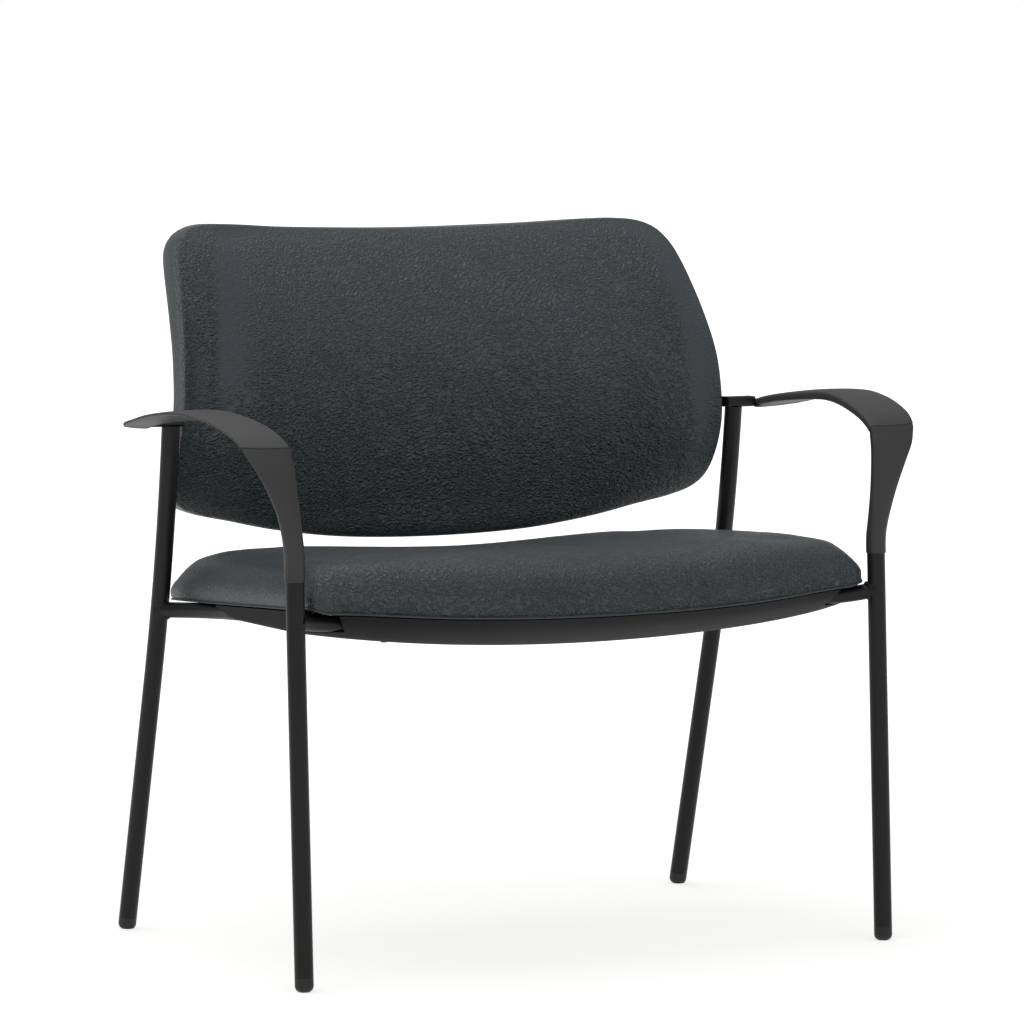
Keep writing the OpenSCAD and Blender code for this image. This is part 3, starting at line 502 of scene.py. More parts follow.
# Depth of the vinyl's creases, share of the pebble in it, and brightness of the clouds' darks and lights
CREASE_DEPTH, PEBBLE = 3.6 * MM, 0.05
VINYL_CLOUD, PLASTIC_CLOUD = (0.9, 1.1), (0.93, 1.07)


def vinyl():
    """Grained vinyl, creased where the piece is painted so."""
    if "grained_vinyl" in bpy.data.materials:
        return bpy.data.materials["grained_vinyl"]
    colour = tuple(bpy.context.scene.chair_colours.vinyl)
    f = Finish("grained_vinyl", colour, roughness=0.42, specular=0.45)
    grain = f.place(leather_grain())
    creased = math_node(f.tree, "MULTIPLY", grain.outputs["Creases"], f.painted("creased"))
    height = math_node(f.tree, "MULTIPLY_ADD", grain.outputs["Pebble"], PEBBLE, creased)
    f.bump(height, CREASE_DEPTH)
    f.colour(grain.outputs["Cloud"], *shades(colour, VINYL_CLOUD))
    f.roughness(grain.outputs["Creases"], 0.48, 0.36)
    f.set("Sheen Weight", 0.04)
    f.set("Sheen Roughness", 0.5)
    return f.material


def plastic(name, colour, roughness, grain_scale=1500, depth=0.12 * MM, specular=0.4):
    if name in bpy.data.materials:
        return bpy.data.materials[name]
    f = Finish(name, colour, roughness, specular)
    speckle = f.place(fine_speckle(), Scale=grain_scale)
    f.colour(speckle.outputs["Cloud"], *shades(colour, PLASTIC_CLOUD))
    f.roughness(speckle.outputs["Cloud"], roughness - 0.04, roughness + 0.04)
    f.bump(speckle.outputs["Height"], depth, 0.5)
    return f.material


def black_coat():
    coat = tuple(bpy.context.scene.chair_colours.coat)
    return plastic("satin_black_coat", coat, 0.42, grain_scale=900, depth=0.08 * MM, specular=0.25)


def pan_plastic():
    colour = tuple(bpy.context.scene.chair_colours.pan)
    return plastic("pan_plastic", colour, 0.6, specular=0.15)


def zinc():
    if "zinc_plate" in bpy.data.materials:
        return bpy.data.materials["zinc_plate"]
    f = Finish("zinc_plate", (0.6, 0.6, 0.58), roughness=0.35)
    speckle = f.place(fine_speckle(), Scale=400)
    f.set("Metallic", 1)
    f.colour(speckle.outputs["Cloud"], (0.5, 0.5, 0.48), (0.68, 0.68, 0.66))
    f.bump(speckle.outputs["Height"], 0.05 * MM, 0.4)
    return f.material


def plywood():
    """Moulded beech plywood: pale, with a long fine grain."""
    if "moulded_plywood" in bpy.data.materials:
        return bpy.data.materials["moulded_plywood"]
    f = Finish("moulded_plywood", (0.5, 0.36, 0.2), roughness=0.6, specular=0.3)
    speckle = f.place(fine_speckle(), Scale=60, Detail=6)
    f.colour(speckle.outputs["Height"], (0.42, 0.29, 0.16), (0.58, 0.43, 0.26))
    f.bump(speckle.outputs["Height"], 0.2 * MM, 0.4)
    return f.material


def finish_piece(piece, material):
    piece.data.materials.clear()
    piece.data.materials.append(material)
    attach(piece, "root")
    return piece


def dress(node, material):
    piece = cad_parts[node]
    piece.data.materials.clear()
    piece.data.materials.append(material)


# Seat

SEAT_HALF_SHARES = [
    [0, 0], [0.24, 0.004], [0.40, 0.013], [0.55, 0.026], [0.686, 0.046], [0.812, 0.071],
    [0.905, 0.088], [0.965, 0.094], [0.990, 0.098], [1, 0.118], [1, 0.20], [0.999, 0.50], [0.997, 0.75],
    [0.992, 0.88], [0.976, 0.945], [0.93, 0.984], [0.82, 0.998], [0.53, 1], [0, 1],
]
SEAT_POINTS = 288
# Inset over the cushion's height, and height share, from the crown down to the hem
CUSHION_PROFILE = [
    [1.7, 1], [1.05, 0.99], [0.62, 0.97], [0.36, 0.925], [0.20, 0.85], [0.10, 0.74],
    [0.04, 0.58], [0.01, 0.38], [0, 0.20], [0.03, 0.06],
]
# Inset and height of the hem along the seam, in millimetres
HEM = [[2.9, 2.7], [3.0, 2.1], [1.4, 1.7], [0.9, 0.9], [1.4, 0.2], [2.8, 0.0]]
FRONT_DRAW, REAR_DRAW = 0.34, 0.8
INNER_STEPS = (0.03, 0.10, 0.20, 0.31, 0.42, 0.53, 0.63, 0.72, 0.80, 0.87, 0.94)
TUCK_X, TUCK_Y, TUCK_R, TUCK_SLANT = 0.366, 0.0165, 0.009, 0.7
# Heights between which the tuck sets in, and between which it fades
TUCK_IN, TUCK_OUT = (0.04, 0.14), (0.14, 0.7)
# Depth of the seam's front part and its drop there, and width of its side parts and their rise
SEAM_FRONT, SEAM_DROP, SEAM_SIDE, SEAM_RISE = 0.092, 0.022, 0.028, 0.008
# Share of the half width that the dish takes
DISH_REACH = 0.72
# Share of the depth over which the rear corners' draw sets in, and the height at which it is full
DRAW_TURN, DRAW_FULL = (0.45, 0.65), 0.8
# The corners' power, and the middle and the reach of the depth that it is taken over
CORNER_POWER, CORNER_MIDDLE, CORNER_REACH = 6, 0.55, 0.45
# The board's pocket in the cushion: side inset, front inset, how much shorter than the seat, and height
POCKET_SIDE, POCKET_FRONT, POCKET_SHORT, POCKET_H = 0.012, 0.046, 0.058, 0.006
# Heights over which the cushion comes free
SEAT_HELD = (0.006, 0.03)
# Creases: where the front face and its lower part end, where the sides begin and where the hem ends. Their
# strength high on the front face and on the top, and how much of it the sides lose
FACE_END, LOW_FACE, SEAT_SIDE, HEM_RISE = (-0.01, 0.07), (0.030, 0.062), (0.33, 0.37), (0.0, 0.006)
FACE_CREASES, TOP_CREASES, SIDE_CALM = 0.40, 0.24, 0.6


def seam_z(x, y):
    """Height of the seat's seam: it drops to the front and rises at the front corners."""
    front = np.maximum(0, 1 - (y - SEAT_Y0) / SEAM_FRONT)
    side = np.maximum(0, 1 - (SEAT_HALF - np.abs(x)) / SEAM_SIDE)
    plane = SEAT_H + (SEAT_Y1 - y) * SEAT_SLOPE
    return plane - SEAM_DROP * front**2 + SEAM_RISE * side**2 * np.minimum(1, 2 * front)


def plateau(x, y, height, dish):
    across = np.maximum(0, 1 - (x / (DISH_REACH * SEAT_HALF)) ** 2)
    back = np.minimum(1, 2 * (y - SEAT_Y0) / SEAT_D)
    return height - dish * across**2 * back


def seat_ring(p, inset):
    return p[:, 0] * (SEAT_HALF - inset), SEAT_Y0 + inset + p[:, 1] * (SEAT_D - 2 * inset)


def cushion_ring(p, inset_share, level, sizes):
    """Ring of the cushion at a height share, drawn in further at its corners and tucked at the front ones."""
    rear = ease(p[:, 1], *DRAW_TURN)
    deep = np.abs((p[:, 1] - CORNER_MIDDLE) / CORNER_REACH)
    corner = np.abs(p[:, 0]) ** CORNER_POWER * np.minimum(1, deep**CORNER_POWER)
    draw = (FRONT_DRAW + (REAR_DRAW - FRONT_DRAW) * rear) * min(1, (level / DRAW_FULL) ** 2) * corner
    x, y = seat_ring(p, (inset_share + draw) * sizes.cushion_h)
    distance = np.hypot(np.abs(x) - TUCK_X, y - TUCK_Y)
    low = ease(level, *TUCK_IN) * (1 - ease(level, *TUCK_OUT))
    tuck = sizes.corner_tuck * np.exp(-((distance / TUCK_R) ** 2)) * low
    x = x - np.sign(x) * tuck * TUCK_SLANT
    y = y + tuck * TUCK_SLANT
    return np.column_stack([x, y, seam_z(x, y) + level * plateau(x, y, sizes.cushion_h, sizes.seat_dish)])


def make_seat_cushion(sizes):
    p = even_outline(SEAT_HALF_SHARES, SEAT_HALF, SEAT_D, SEAT_POINTS)
    middle = SEAT_Y0 + 0.5 * SEAT_D
    rings = []
    profile = open_curve(CUSHION_PROFILE, 3)
    x, y = cushion_ring(p, *profile[0], sizes)[:, :2].T
    for t in INNER_STEPS:
        u, v = x * t, middle + (y - middle) * t
        top = plateau(u, v, sizes.cushion_h, sizes.seat_dish) * profile[0][1]
        rings.append(np.column_stack([u, v, seam_z(u, v) + top]))
    rings += [cushion_ring(p, inset, level, sizes) for inset, level in profile]
    for inset, height in HEM:
        x, y = seat_ring(p, inset * MM)
        rings.append(np.column_stack([x, y, seam_z(x, y) + height * MM]))
    x = p[:, 0] * (SEAT_HALF - (POCKET_SIDE - PLAY))
    y = SEAT_Y0 + POCKET_FRONT - PLAY + p[:, 1] * (SEAT_D - POCKET_SHORT + 2 * PLAY)
    rings.append(np.column_stack([x, y, seam_z(x, y)]))
    rings.append(np.column_stack([x, y, SEAT_H + (SEAT_Y1 - y) * SEAT_SLOPE + POCKET_H]))
    return ringed("seat_upholstery", rings)


def seat_held(co):
    """The cushion is free above its sides' lower third."""
    above = co[:, 2] - seam_z(co[:, 0], co[:, 1] + MID_Y)
    return 1 - ease(above, *SEAT_HELD)


def seat_creases(co):
    """Creases: strong low on the front face, faint on the top and the sides."""
    above = co[:, 2] - seam_z(co[:, 0], co[:, 1] + MID_Y)
    front = 1 - ease(co[:, 1] + MID_Y, *FACE_END)
    low = 1 - ease(above, *LOW_FACE)
    side = ease(np.abs(co[:, 0]), *SEAT_SIDE)
    face = front * (FACE_CREASES + (1 - FACE_CREASES) * low)
    return np.clip(np.maximum(face, TOP_CREASES) * (1 - SIDE_CALM * side), 0, 1) * ease(above, *HEM_RISE)


# Pan

PAN_GAP, PAN_INSET, PAN_WALL = 0.0015, 0.003, 0.003
PAN_DROP, PAN_SWEEP, PAN_RISE = 0.037, 0.062, 0.027
PAN_END = SEAT_Y0 + 0.317
PAN_CUT = 0.026
# Depth share and inset in millimetres of the outer wall's rings, rounded at its lower edge
PAN_WALL_RINGS = [
    [0, 0.8], [0.012, 0], [0.25, 0], [0.5, 0], [0.7, 0], [0.86, 0], [0.93, 0.5], [0.98, 1.9], [1.0, 4.6],
]
# The front cross rail's place, and the notches round its raised ends: place, slant, play and how far ahead
CROSS_Y, CROSS_Z = 0.04, 0.419
NOTCH_X, NOTCH_SLANT, NOTCH_PLAY, NOTCH_AHEAD = SEAT_HALF - 0.038, 0.013, 0.0006, 0.005
# The side rails' slots: middle, reach in and out, lower and upper end, start and end
SLOT_X, SLOT_IN, SLOT_OUT, SLOT_Z0, SLOT_Z1 = LEG_X - 0.035, 0.0125, 0.0101, 0.40, 0.44
SLOT_START, SLOT_END = SEAT_Y0 + 0.19 - MID_Y, 0.1
PAN_POINTS = 240
PAN_STEPS = (0.04, 0.2, 0.4, 0.6, 0.8, 0.92)
# The flanks' rise: its power, where along Y, and by how much
FLANK_POWER, FLANK_Y, FLANK_RISE = 6, (0.235, 0.292), 0.011
# The front wall's sweep: less at the sides, more at the corners, its share of the seat's depth, and its power
SWEEP_LESS, SWEEP_CORNER, CORNER_SHARP, SWEEP_DEPTH, SWEEP_POWER = 0.45, 0.6, 12, 0.625, 1.5


def pan_floor_z(x, y):
    flank = (np.abs(x) / SEAT_HALF) ** FLANK_POWER * ease(y, *FLANK_Y) * FLANK_RISE
    return seam_z(0.0, SEAT_Y0) - PAN_DROP + PAN_RISE * (x / SEAT_HALF) ** 2 + flank


def pan_ring(p, depth, inset, wall):
    x, y = seat_ring(p, PAN_INSET + wall + inset * MM)
    corner = SWEEP_CORNER * np.abs(p[:, 0]) ** CORNER_SHARP
    ahead = np.maximum(0, 1 - p[:, 1] / SWEEP_DEPTH) ** 2
    sweep = PAN_SWEEP * (1 - SWEEP_LESS * p[:, 0] ** 2 + corner * depth) * ahead
    y = y + sweep * depth**SWEEP_POWER
    top = seam_z(x, y - sweep * depth**SWEEP_POWER) - PAN_GAP
    return np.column_stack([x, y, top + (pan_floor_z(x, y) + wall - top) * depth])


def pan_floor_ring(edge, share, wall):
    x = edge[:, 0] * share
    middle = SEAT_Y0 + SEAT_D / 2
    y = middle + (edge[:, 1] - middle) * share
    return np.column_stack([x, y, pan_floor_z(x, y) + wall])


def make_pan():
    p = even_outline(SEAT_HALF_SHARES, SEAT_HALF, SEAT_D, PAN_POINTS)
    inner = [pan_ring(p, d, i, PAN_WALL) for d, i in reversed(PAN_WALL_RINGS[1:])]
    outer = [pan_ring(p, d, i, 0) for d, i in PAN_WALL_RINGS]
    rings = [pan_floor_ring(inner[0], s, PAN_WALL) for s in PAN_STEPS] + inner + outer
    rings += [pan_floor_ring(outer[-1], s, 0) for s in reversed(PAN_STEPS)]
    piece = ringed("pan_shell", rings)
    end = PAN_END - MID_Y
    cut_off(piece, (0, end, 0), (0, 1, 0))
    slant_z = float(seam_z(0.0, PAN_END)) - PAN_CUT
    cut_off(piece, (0, end, slant_z), (0, 1, -1))
    z0 = CROSS_Z - RAIL_R - NOTCH_PLAY
    z1 = z0 + 2 * RAIL_R
    rear = CROSS_Y + RAIL_R + NOTCH_PLAY - MID_Y
    for side in (-1, 1):
        x0 = side * NOTCH_X
        slant = side * NOTCH_SLANT
        notch = [
            (x0 - slant, z0), (side * LEG_X, z0), (side * LEG_X, z1 + 2 * LEG_R),
            (x0 + slant, z1 + 2 * LEG_R), (x0, z1),
        ]
        cut_out(piece, prism("notch", notch, SEAT_Y0 - MID_Y - NOTCH_AHEAD, rear))
        near, far = side * (SLOT_X - SLOT_IN), side * (SLOT_X + SLOT_OUT)
        slot = [(near, SLOT_Z0), (far, SLOT_Z0), (far, SLOT_Z1), (near, SLOT_Z1)]
        cut_out(piece, prism("slot", slot, SLOT_START, SLOT_END))
    return piece


# Back

SETBACK = [0.161, 0.170, 0.164, 0.153, 0.147, 0.154, 0.174, 0.212, 0.262, 0.322, 0.394]
WRAP = [0.026, 0.055, 0.095, 0.132, 0.153, 0.160, 0.161, 0.161, 0.162, 0.165, 0.169]
BAND = [0.092, 0.093, 0.095, 0.096, 0.097, 0.100, 0.106, 0.117, 0.127, 0.137, 0.145]
BACK_HALF_SHARES = [
    [0, 0], [0.322, 0.010], [0.573, 0.040], [0.756, 0.077], [0.876, 0.102], [0.958, 0.135],
    [0.994, 0.195], [1, 0.32], [0.991, 0.453], [0.983, 0.56], [0.969, 0.662], [0.951, 0.767],
    [0.929, 0.87], [0.905, 0.939], [0.866, 0.98], [0.788, 1], [0.639, 0.998], [0.40, 0.985], [0, 0.977],
]
BACK_POINTS = 272
# Inset in millimetres, share of the crown and share of the side valley of the padded face's rings
FACE_PROFILE = [
    [105, 0.96, 0], [80, 0.89, 0.30], [60, 0.81, 0.78], [46, 0.71, 0.98], [34, 0.58, 1], [24, 0.45, 0.90],
    [15, 0.31, 0.68], [9, 0.20, 0.42], [5, 0.11, 0.18], [2.4, 0.04, 0.04], [0.9, -0.05, 0],
    [0.2, -0.17, 0], [0, -0.34, 0],
]
# Inset in millimetres, depth share and corner share of the side band's rings
BAND_PROFILE = [
    [0, 0.35, 0], [0, 0.65, 0.3], [0.4, 0.86, 0.75], [1.6, 0.96, 1], [4.5, 1.0, 1], [13.5, 1.01, 0.5],
]
PANEL_INSET, LAYER_PLAY = 0.014, 0.002
# Inset share, height in millimetres and share of the rear drop of the rear cover's rim
COVER_PROUD = 1.5
COVER_RIM = [
    [0, -4, 0.5], [0.004, -1, 0.5], [0.012, 1.2, 0.4], [0.03, 1.5, 0.25], [0.07, 1.5, 0.08], [0.12, 1.5, 0],
]
LAYER_INSETS = [0.12, 0.03, 0]
# Shares of the half width over which the sides set in, and of the height over which they set in and fade,
# and over which the lower edge fades
SIDE_X, SIDE_LOW, SIDE_TOP, LOW_EDGE = (0.70, 0.95), (0.14, 0.45), (0.55, 0.94), (0.10, 0.24)
# Inset in millimetres at which the lower roll ends, and how far behind the sheet the side band starts
ROLL_INSET, BAND_START = 22, 0.004
# Where the padded face is free: inward from its side, over its lower edge, up to its top, and behind it
FREE_SIDE, FREE_LOW, FREE_TOP, FREE_BEHIND = (0.06, 0.22), (0.04, 0.16), (0.86, 0.96), (0.0, 0.01)
# Half width of the padded face over its height, as a share
CREASE_EDGE = [0.93, 0.985, 1, 1, 0.993, 0.99, 0.978, 0.965, 0.945, 0.92, 0.86]
# Creases of the left strip, of the calm part beside it and of the one on the right: millimetres inward from
# the side, and height shares. Then height shares of the other parts, and metres behind the sheet
STRIP_IN, STRIP_Z = (40, 58), (0.05, 0.25)
CALM_START, CALM_END, CALM_Z = (42, 56), (70, 120), (0.35, 0.55)
RIGHT_CALM, RIGHT_CALM_Z = (26, 44), (0.1, 0.3)
LOWER_Z, UPPER_Z, FOOT_Z, BAND_BEHIND = (0.10, 0.62), (0.93, 0.985), (0.0, 0.05), (0.001, 0.006)
# Strength in the middle, added in the lower part, of the rear cover and of the side band, and what is lost
MIDDLE_CREASES, LOWER_CREASES, COVER_CREASES, BAND_CREASES = 0.60, 0.30, 0.3, 0.06
CALM_LOSS, UPPER_LOSS = 0.75, 0.7


def sheet_y(x, z):
    v = (z - BACK_Z) / BACK_H
    return UPRIGHT_Y + BACK_H * (along(SETBACK, v) - along(WRAP, v) * (x / BACK_HALF) ** 2)


def back_points(p, inset):
    return p[:, 0] * (BACK_HALF - inset), BACK_Z + inset + p[:, 1] * (BACK_H - 2 * inset)


def side_share(p):
    """1 along the sides of the back, and 0 along its top and its lower edge."""
    return ease(np.abs(p[:, 0]), *SIDE_X) * (1 - ease(p[:, 1], *SIDE_TOP)) * ease(p[:, 1], *SIDE_LOW)


def upper_share(p):
    """1 at the upper corners of the back, and 0 away from them."""
    return np.minimum(1, 3 * np.abs(p[:, 0]) ** 5 * np.maximum(0, p[:, 1]) ** 8)


def band_depth(z):
    return BACK_H * along(BAND, (z - BACK_Z) / BACK_H)


def face_ring(p, inset, crown, valley, sizes):
    x, z = back_points(p, inset * MM)
    depth = -crown * sizes.back_crown + valley * sizes.side_valley * side_share(p)
    roll = sizes.lower_roll * max(0, 1 - inset / ROLL_INSET) ** 2 * (1 - ease(p[:, 1], *LOW_EDGE))
    return np.column_stack([x, sheet_y(x, z) + depth + roll, z])


def band_ring(p, inset, share, corner, sizes):
    """Ring of the side band. The upper rear corners lie lower than the front ones."""
    x, z = back_points(p, inset * MM)
    y = sheet_y(x, z) + share * band_depth(z) + (1 - share) * BAND_START
    return np.column_stack([x, y, z - sizes.rear_drop * corner * upper_share(p)])


def layer_ring(p, share, depth, band_share):
    x, z = back_points(p, PANEL_INSET + BACK_H * share)
    return np.column_stack([x, sheet_y(x, z) + depth + band_share * band_depth(z), z])


def inner_rings(edge, surface):
    """Rings between the middle and an edge ring, laid on a surface that gives Y from X and Z."""
    middle = BACK_Z + BACK_H / 2
    rings = []
    for t in INNER_STEPS:
        x = edge[:, 0] * t
        z = middle + (edge[:, 2] - middle) * t
        rings.append(np.column_stack([x, surface(x, z, t), z]))
    return rings


def make_back_cushion(sizes):
    p = even_outline(BACK_HALF_SHARES, BACK_HALF, BACK_H, BACK_POINTS)
    face = [face_ring(p, i, c, v, sizes) for i, c, v in open_curve(FACE_PROFILE, 3)]
    first = FACE_PROFILE[0][1]
    crown = lambda x, z, t: sheet_y(x, z) - sizes.back_crown * (first + (1 - first) * (1 - t**3))
    rings = inner_rings(face[0], crown) + face
    rings += [band_ring(p, i, s, c, sizes) for i, s, c in open_curve(BAND_PROFILE, 3)]
    depth = FOAM_T - LAYER_PLAY
    rings += [layer_ring(p, s, depth, 0) for s in reversed(LAYER_INSETS)]
    rings += reversed(inner_rings(rings[-1], lambda x, z, t: sheet_y(x, z) + depth))
    return ringed("back_upholstery", rings)


def make_back_panel(sizes):
    p = even_outline(BACK_HALF_SHARES, BACK_HALF, BACK_H, BACK_POINTS)
    front = FOAM_T + BOARD_T + LAYER_PLAY
    play = p * (1 - PLAY / BACK_HALF)
    layers = [layer_ring(play, s, front, 0) for s in LAYER_INSETS]
    rings = inner_rings(layers[0], lambda x, z, t: sheet_y(x, z) + front) + layers
    for share, proud, drop in COVER_RIM:
        ring = layer_ring(play, share, proud * MM, 1)
        ring[:, 2] -= drop * sizes.rear_drop * upper_share(p)
        rings.append(ring)
    proud = COVER_PROUD * MM
    rings += reversed(inner_rings(rings[-1], lambda x, z, t: sheet_y(x, z) + proud + band_depth(z)))
    return ringed("back_rear_cover", rings)


def back_held(co):
    """Only the padded face is free, away from its edge."""
    y = co[:, 1] + MID_Y
    x, z = co[:, 0], co[:, 2]
    behind = y - sheet_y(x, z)
    side = ease((BACK_HALF * 0.985 - np.abs(x)) / BACK_HALF, *FREE_SIDE)
    height = (z - BACK_Z) / BACK_H
    free = side * ease(height, *FREE_LOW) * (1 - ease(height, *FREE_TOP)) * (1 - ease(behind, *FREE_BEHIND))
    return 1 - free


def back_creases(co):
    """Creases: strong along the left side and in the lower part, faint on the bands and the upper edge."""
    x, y, z = co[:, 0], co[:, 1] + MID_Y, co[:, 2]
    height = (z - BACK_Z) / BACK_H
    edge = along(CREASE_EDGE, height) * BACK_HALF
    inward = (edge - np.abs(x)) / MM
    left, right = np.where(x < 0, 1.0, 0.0), np.where(x > 0, 1.0, 0.0)
    strip = left * (1 - ease(inward, *STRIP_IN)) * ease(height, *STRIP_Z)
    calm = left * ease(inward, *CALM_START) * (1 - ease(inward, *CALM_END)) * ease(height, *CALM_Z)
    calm = np.maximum(calm, right * (1 - ease(inward, *RIGHT_CALM)) * ease(height, *RIGHT_CALM_Z))
    lower = 1 - ease(height, *LOWER_Z)
    middle = MIDDLE_CREASES + LOWER_CREASES * lower
    creases = middle * (1 - CALM_LOSS * calm) + strip * (1 - middle)
    creases *= 1 - UPPER_LOSS * ease(height, *UPPER_Z)
    creases *= ease(height, *FOOT_Z)
    band = ease(y - sheet_y(x, z), *BAND_BEHIND)
    return creases * (1 - band) + BAND_CREASES * band


# Arms

ARM_SHARES = [
    [-0.17, 0.215, -0.033, -0.036, 0.196, 0.196, 1.69, 1.65, 0.95],
    [-0.14, 0.277, -0.026, -0.035, 0.296, 0.296, 1.38, 1.23, 0.85],
    [-0.10, 0.39, -0.017, -0.033, 0.43, 0.43, 1.12, 0.85, 0.7],
    [-0.06, 0.585, -0.006, -0.023, 0.582, 0.582, 1.0, 0.54, 0.6],
    [-0.04, 0.755, 0.003, -0.009, 0.693, 0.693, 0.96, 0.38, 0.5],
    [-0.023, 0.86, 0.017, 0.014, 0.767, 0.767, 0.96, 0.32, 0.5],
    [-0.015, 0.93, 0.032, 0.039, 0.82, 0.825, 1, 0.28, 0.5],
    [0.015, 1.0, 0.101, 0.101, 0.889, 0.892, 1, 0.26, 0.5],
    [0.077, 1.077, 0.214, 0.214, 0.95, 0.952, 1.04, 0.25, 0.5],
    [0.17, 1.16, 0.335, 0.335, 0.987, 0.984, 1.08, 0.23, 0.5],
    [0.215, 1.215, 0.434, 0.434, 1, 0.995, 1.1, 0.23, 0.5],
    [0.27, 1.254, 0.549, 0.549, 0.989, 0.984, 1.04, 0.23, 0.5],
    [0.323, 1.285, 0.682, 0.682, 0.968, 0.955, 1, 0.23, 0.5],
    [0.377, 1.285, 0.821, 0.798, 0.942, 0.913, 0.96, 0.23, 0.5],
    [0.408, 1.26, 0.934, 0.861, 0.913, 0.892, 0.96, 0.25, 0.5],
    [0.415, 1.09, 0.986, 0.928, 0.892, 0.873, 0.96, 0.38, 0.55],
    [0.423, 0.80, 0.997, 0.974, 0.886, 0.876, 0.92, 0.58, 0.6],
    [0.46, 0.65, 1.001, 0.993, 0.881, 0.877, 0.69, 0.54, 0.7],
]
ARM_W, ARM_REACH, ARM_RISE, ARM_T, SLEEVE_D = 0.065, UPRIGHT_Y - SLEEVE_Y, 0.189, 0.013, 0.0244
ARM_SCALES = np.array([ARM_W, ARM_W, ARM_REACH, ARM_REACH, ARM_RISE, ARM_RISE, ARM_T, ARM_T, 1])
ARM_STEPS = 8
ARM_SIDES = 64
CREASE_ROW, PAD_END_ROW = 8 * ARM_STEPS, 18 * ARM_STEPS
CREASE_BOW = 2.0
PAD_LIFT, PAD_SINK, GROOVE = 0.45 * MM, 0.6 * MM, 0.6 * MM
# Arc of the cap round the arm in degrees, its points, and how far its rims lie beyond it and how high
PAD_ARC, PAD_SIDES, RIM_ANGLE, RIM_LIFT = (-24, 204), 40, 0.05, 0.2
NEXT_ANGLE = 0.02
BULGE = 2 * MM
# Rows past the crease, and lift, of the stations round the groove and at the cap's two ends
GROOVE_ROWS = ((-0.9, 0), (-0.75, -GROOVE), (0.3, -GROOVE), (0.5, 0))
CAP_START = 0.1
CAP_FRONT = ((0, -0.9 * PAD_SINK), (0, 0.1 * MM), (0.12, 0.32 * MM), (0.4, PAD_LIFT))
CAP_REAR = ((0, 0.3 * MM), (0.3, -0.9 * PAD_SINK))
# Share of the section, and rise or run in millimetres, of the rings that round the foot and the rear end
FOOT_RISE, FOOT_RINGS, END_RINGS = 0.9, ((0.975, 0.25), (0.93, 0)), ((0.93, 0.5), (0.8, 0.8))


def arm_rows():
    r = SLEEVE_D / 2
    sleeve = [[-r, r, -r, -r, h, h, SLEEVE_D, SLEEVE_D, 1] for h in (0, 0.11 * ARM_RISE)]
    return open_curve(sleeve + [list(np.array(s) * ARM_SCALES) for s in ARM_SHARES], ARM_STEPS)


def arm_row(rows, k):
    k = min(max(k, 0), len(rows) - 1)
    low = min(int(k), len(rows) - 2)
    return rows[low] + (rows[low + 1] - rows[low]) * (k - low)


def row_middle(rows, k):
    q = arm_row(rows, k)
    return np.array([LEG_X + (q[0] + q[1]) / 2, SLEEVE_Y + (q[2] + q[3]) / 2, SLEEVE_H + (q[4] + q[5]) / 2])


def plain_ring(rows, k, angles):
    """Section of the arm at row k, and its share across the arm at each angle."""
    r = arm_row(rows, k)
    run = row_middle(rows, k + ARM_STEPS) - row_middle(rows, k - ARM_STEPS)
    length = math.hypot(run[1], run[2])
    bent = ease(k, 0, 2 * ARM_STEPS)
    into = np.array([0, 1, 0]) * (1 - bent) + np.array([0, run[2] / length, -run[1] / length]) * bent
    inner = np.array([LEG_X + r[0], SLEEVE_Y + r[2], SLEEVE_H + r[4]])
    outer = np.array([LEG_X + r[1], SLEEVE_Y + r[3], SLEEVE_H + r[5]])
    power = r[8]
    a = (1 + np.sign(np.cos(angles)) * np.abs(np.cos(angles)) ** power) / 2
    depth = (1 - np.sign(np.sin(angles)) * np.abs(np.sin(angles)) ** power) / 2
    thick = r[6] + (r[7] - r[6]) * a
    bulge = BULGE * (1 - power) * 4 * a * (1 - a) * (1 - depth)
    return inner + (outer - inner) * a[:, None] + into * (thick * depth - bulge)[:, None], a


def arm_ring(rows, k, angles, lift=0.0):
    """Section of the arm near row k, bowed towards the crease, and lifted off or sunk below its surface."""
    bow = CREASE_BOW * max(0, 1 - abs(k - CREASE_ROW) / ARM_STEPS)
    ring, a = plain_ring(rows, k, angles)
    if bow > 0:
        lower, _ = plain_ring(rows, k - bow, angles)
        ring = ring + (lower - ring) * (1 - (2 * a - 1) ** 2)[:, None]
    if lift:
        around, _ = plain_ring(rows, k, angles + NEXT_ANGLE)
        back, _ = plain_ring(rows, k, angles - NEXT_ANGLE)
        run = row_middle(rows, k + 1) - row_middle(rows, k - 1)
        normal = np.cross(around - back, run)
        normal /= np.linalg.norm(normal, axis=1, keepdims=True)
        middle = row_middle(rows, k)
        outward = np.sign(np.sum(normal * (ring - middle), axis=1).sum())
        ring = ring + normal * outward * lift
    return ring


def make_arm():
    rows = arm_rows()
    angles = np.linspace(0, 2 * np.pi, ARM_SIDES, endpoint=False)
    last = len(rows) - 1
    stations = [(k, 0) for k in range(1, CREASE_ROW - 1)]
    stations += [(CREASE_ROW + k, lift) for k, lift in GROOVE_ROWS]
    stations += [(k, 0) for k in range(CREASE_ROW + 1, last + 1)]
    rings = [arm_ring(rows, k, angles, lift) for k, lift in stations]
    foot, _ = plain_ring(rows, 0, angles)
    centre = np.array([LEG_X, SLEEVE_Y, SLEEVE_H])
    rings.insert(0, foot + (0, 0, FOOT_RISE * MM))
    for share, rise in FOOT_RINGS:
        rings.insert(0, centre + (foot - centre) * share + (0, 0, rise * MM))
    end = rings[-1]
    middle = end.mean(axis=0)
    rings += [middle + (end - middle) * s + (0, d * MM, 0) for s, d in END_RINGS]
    return ringed("arm_moulding_right", rings)


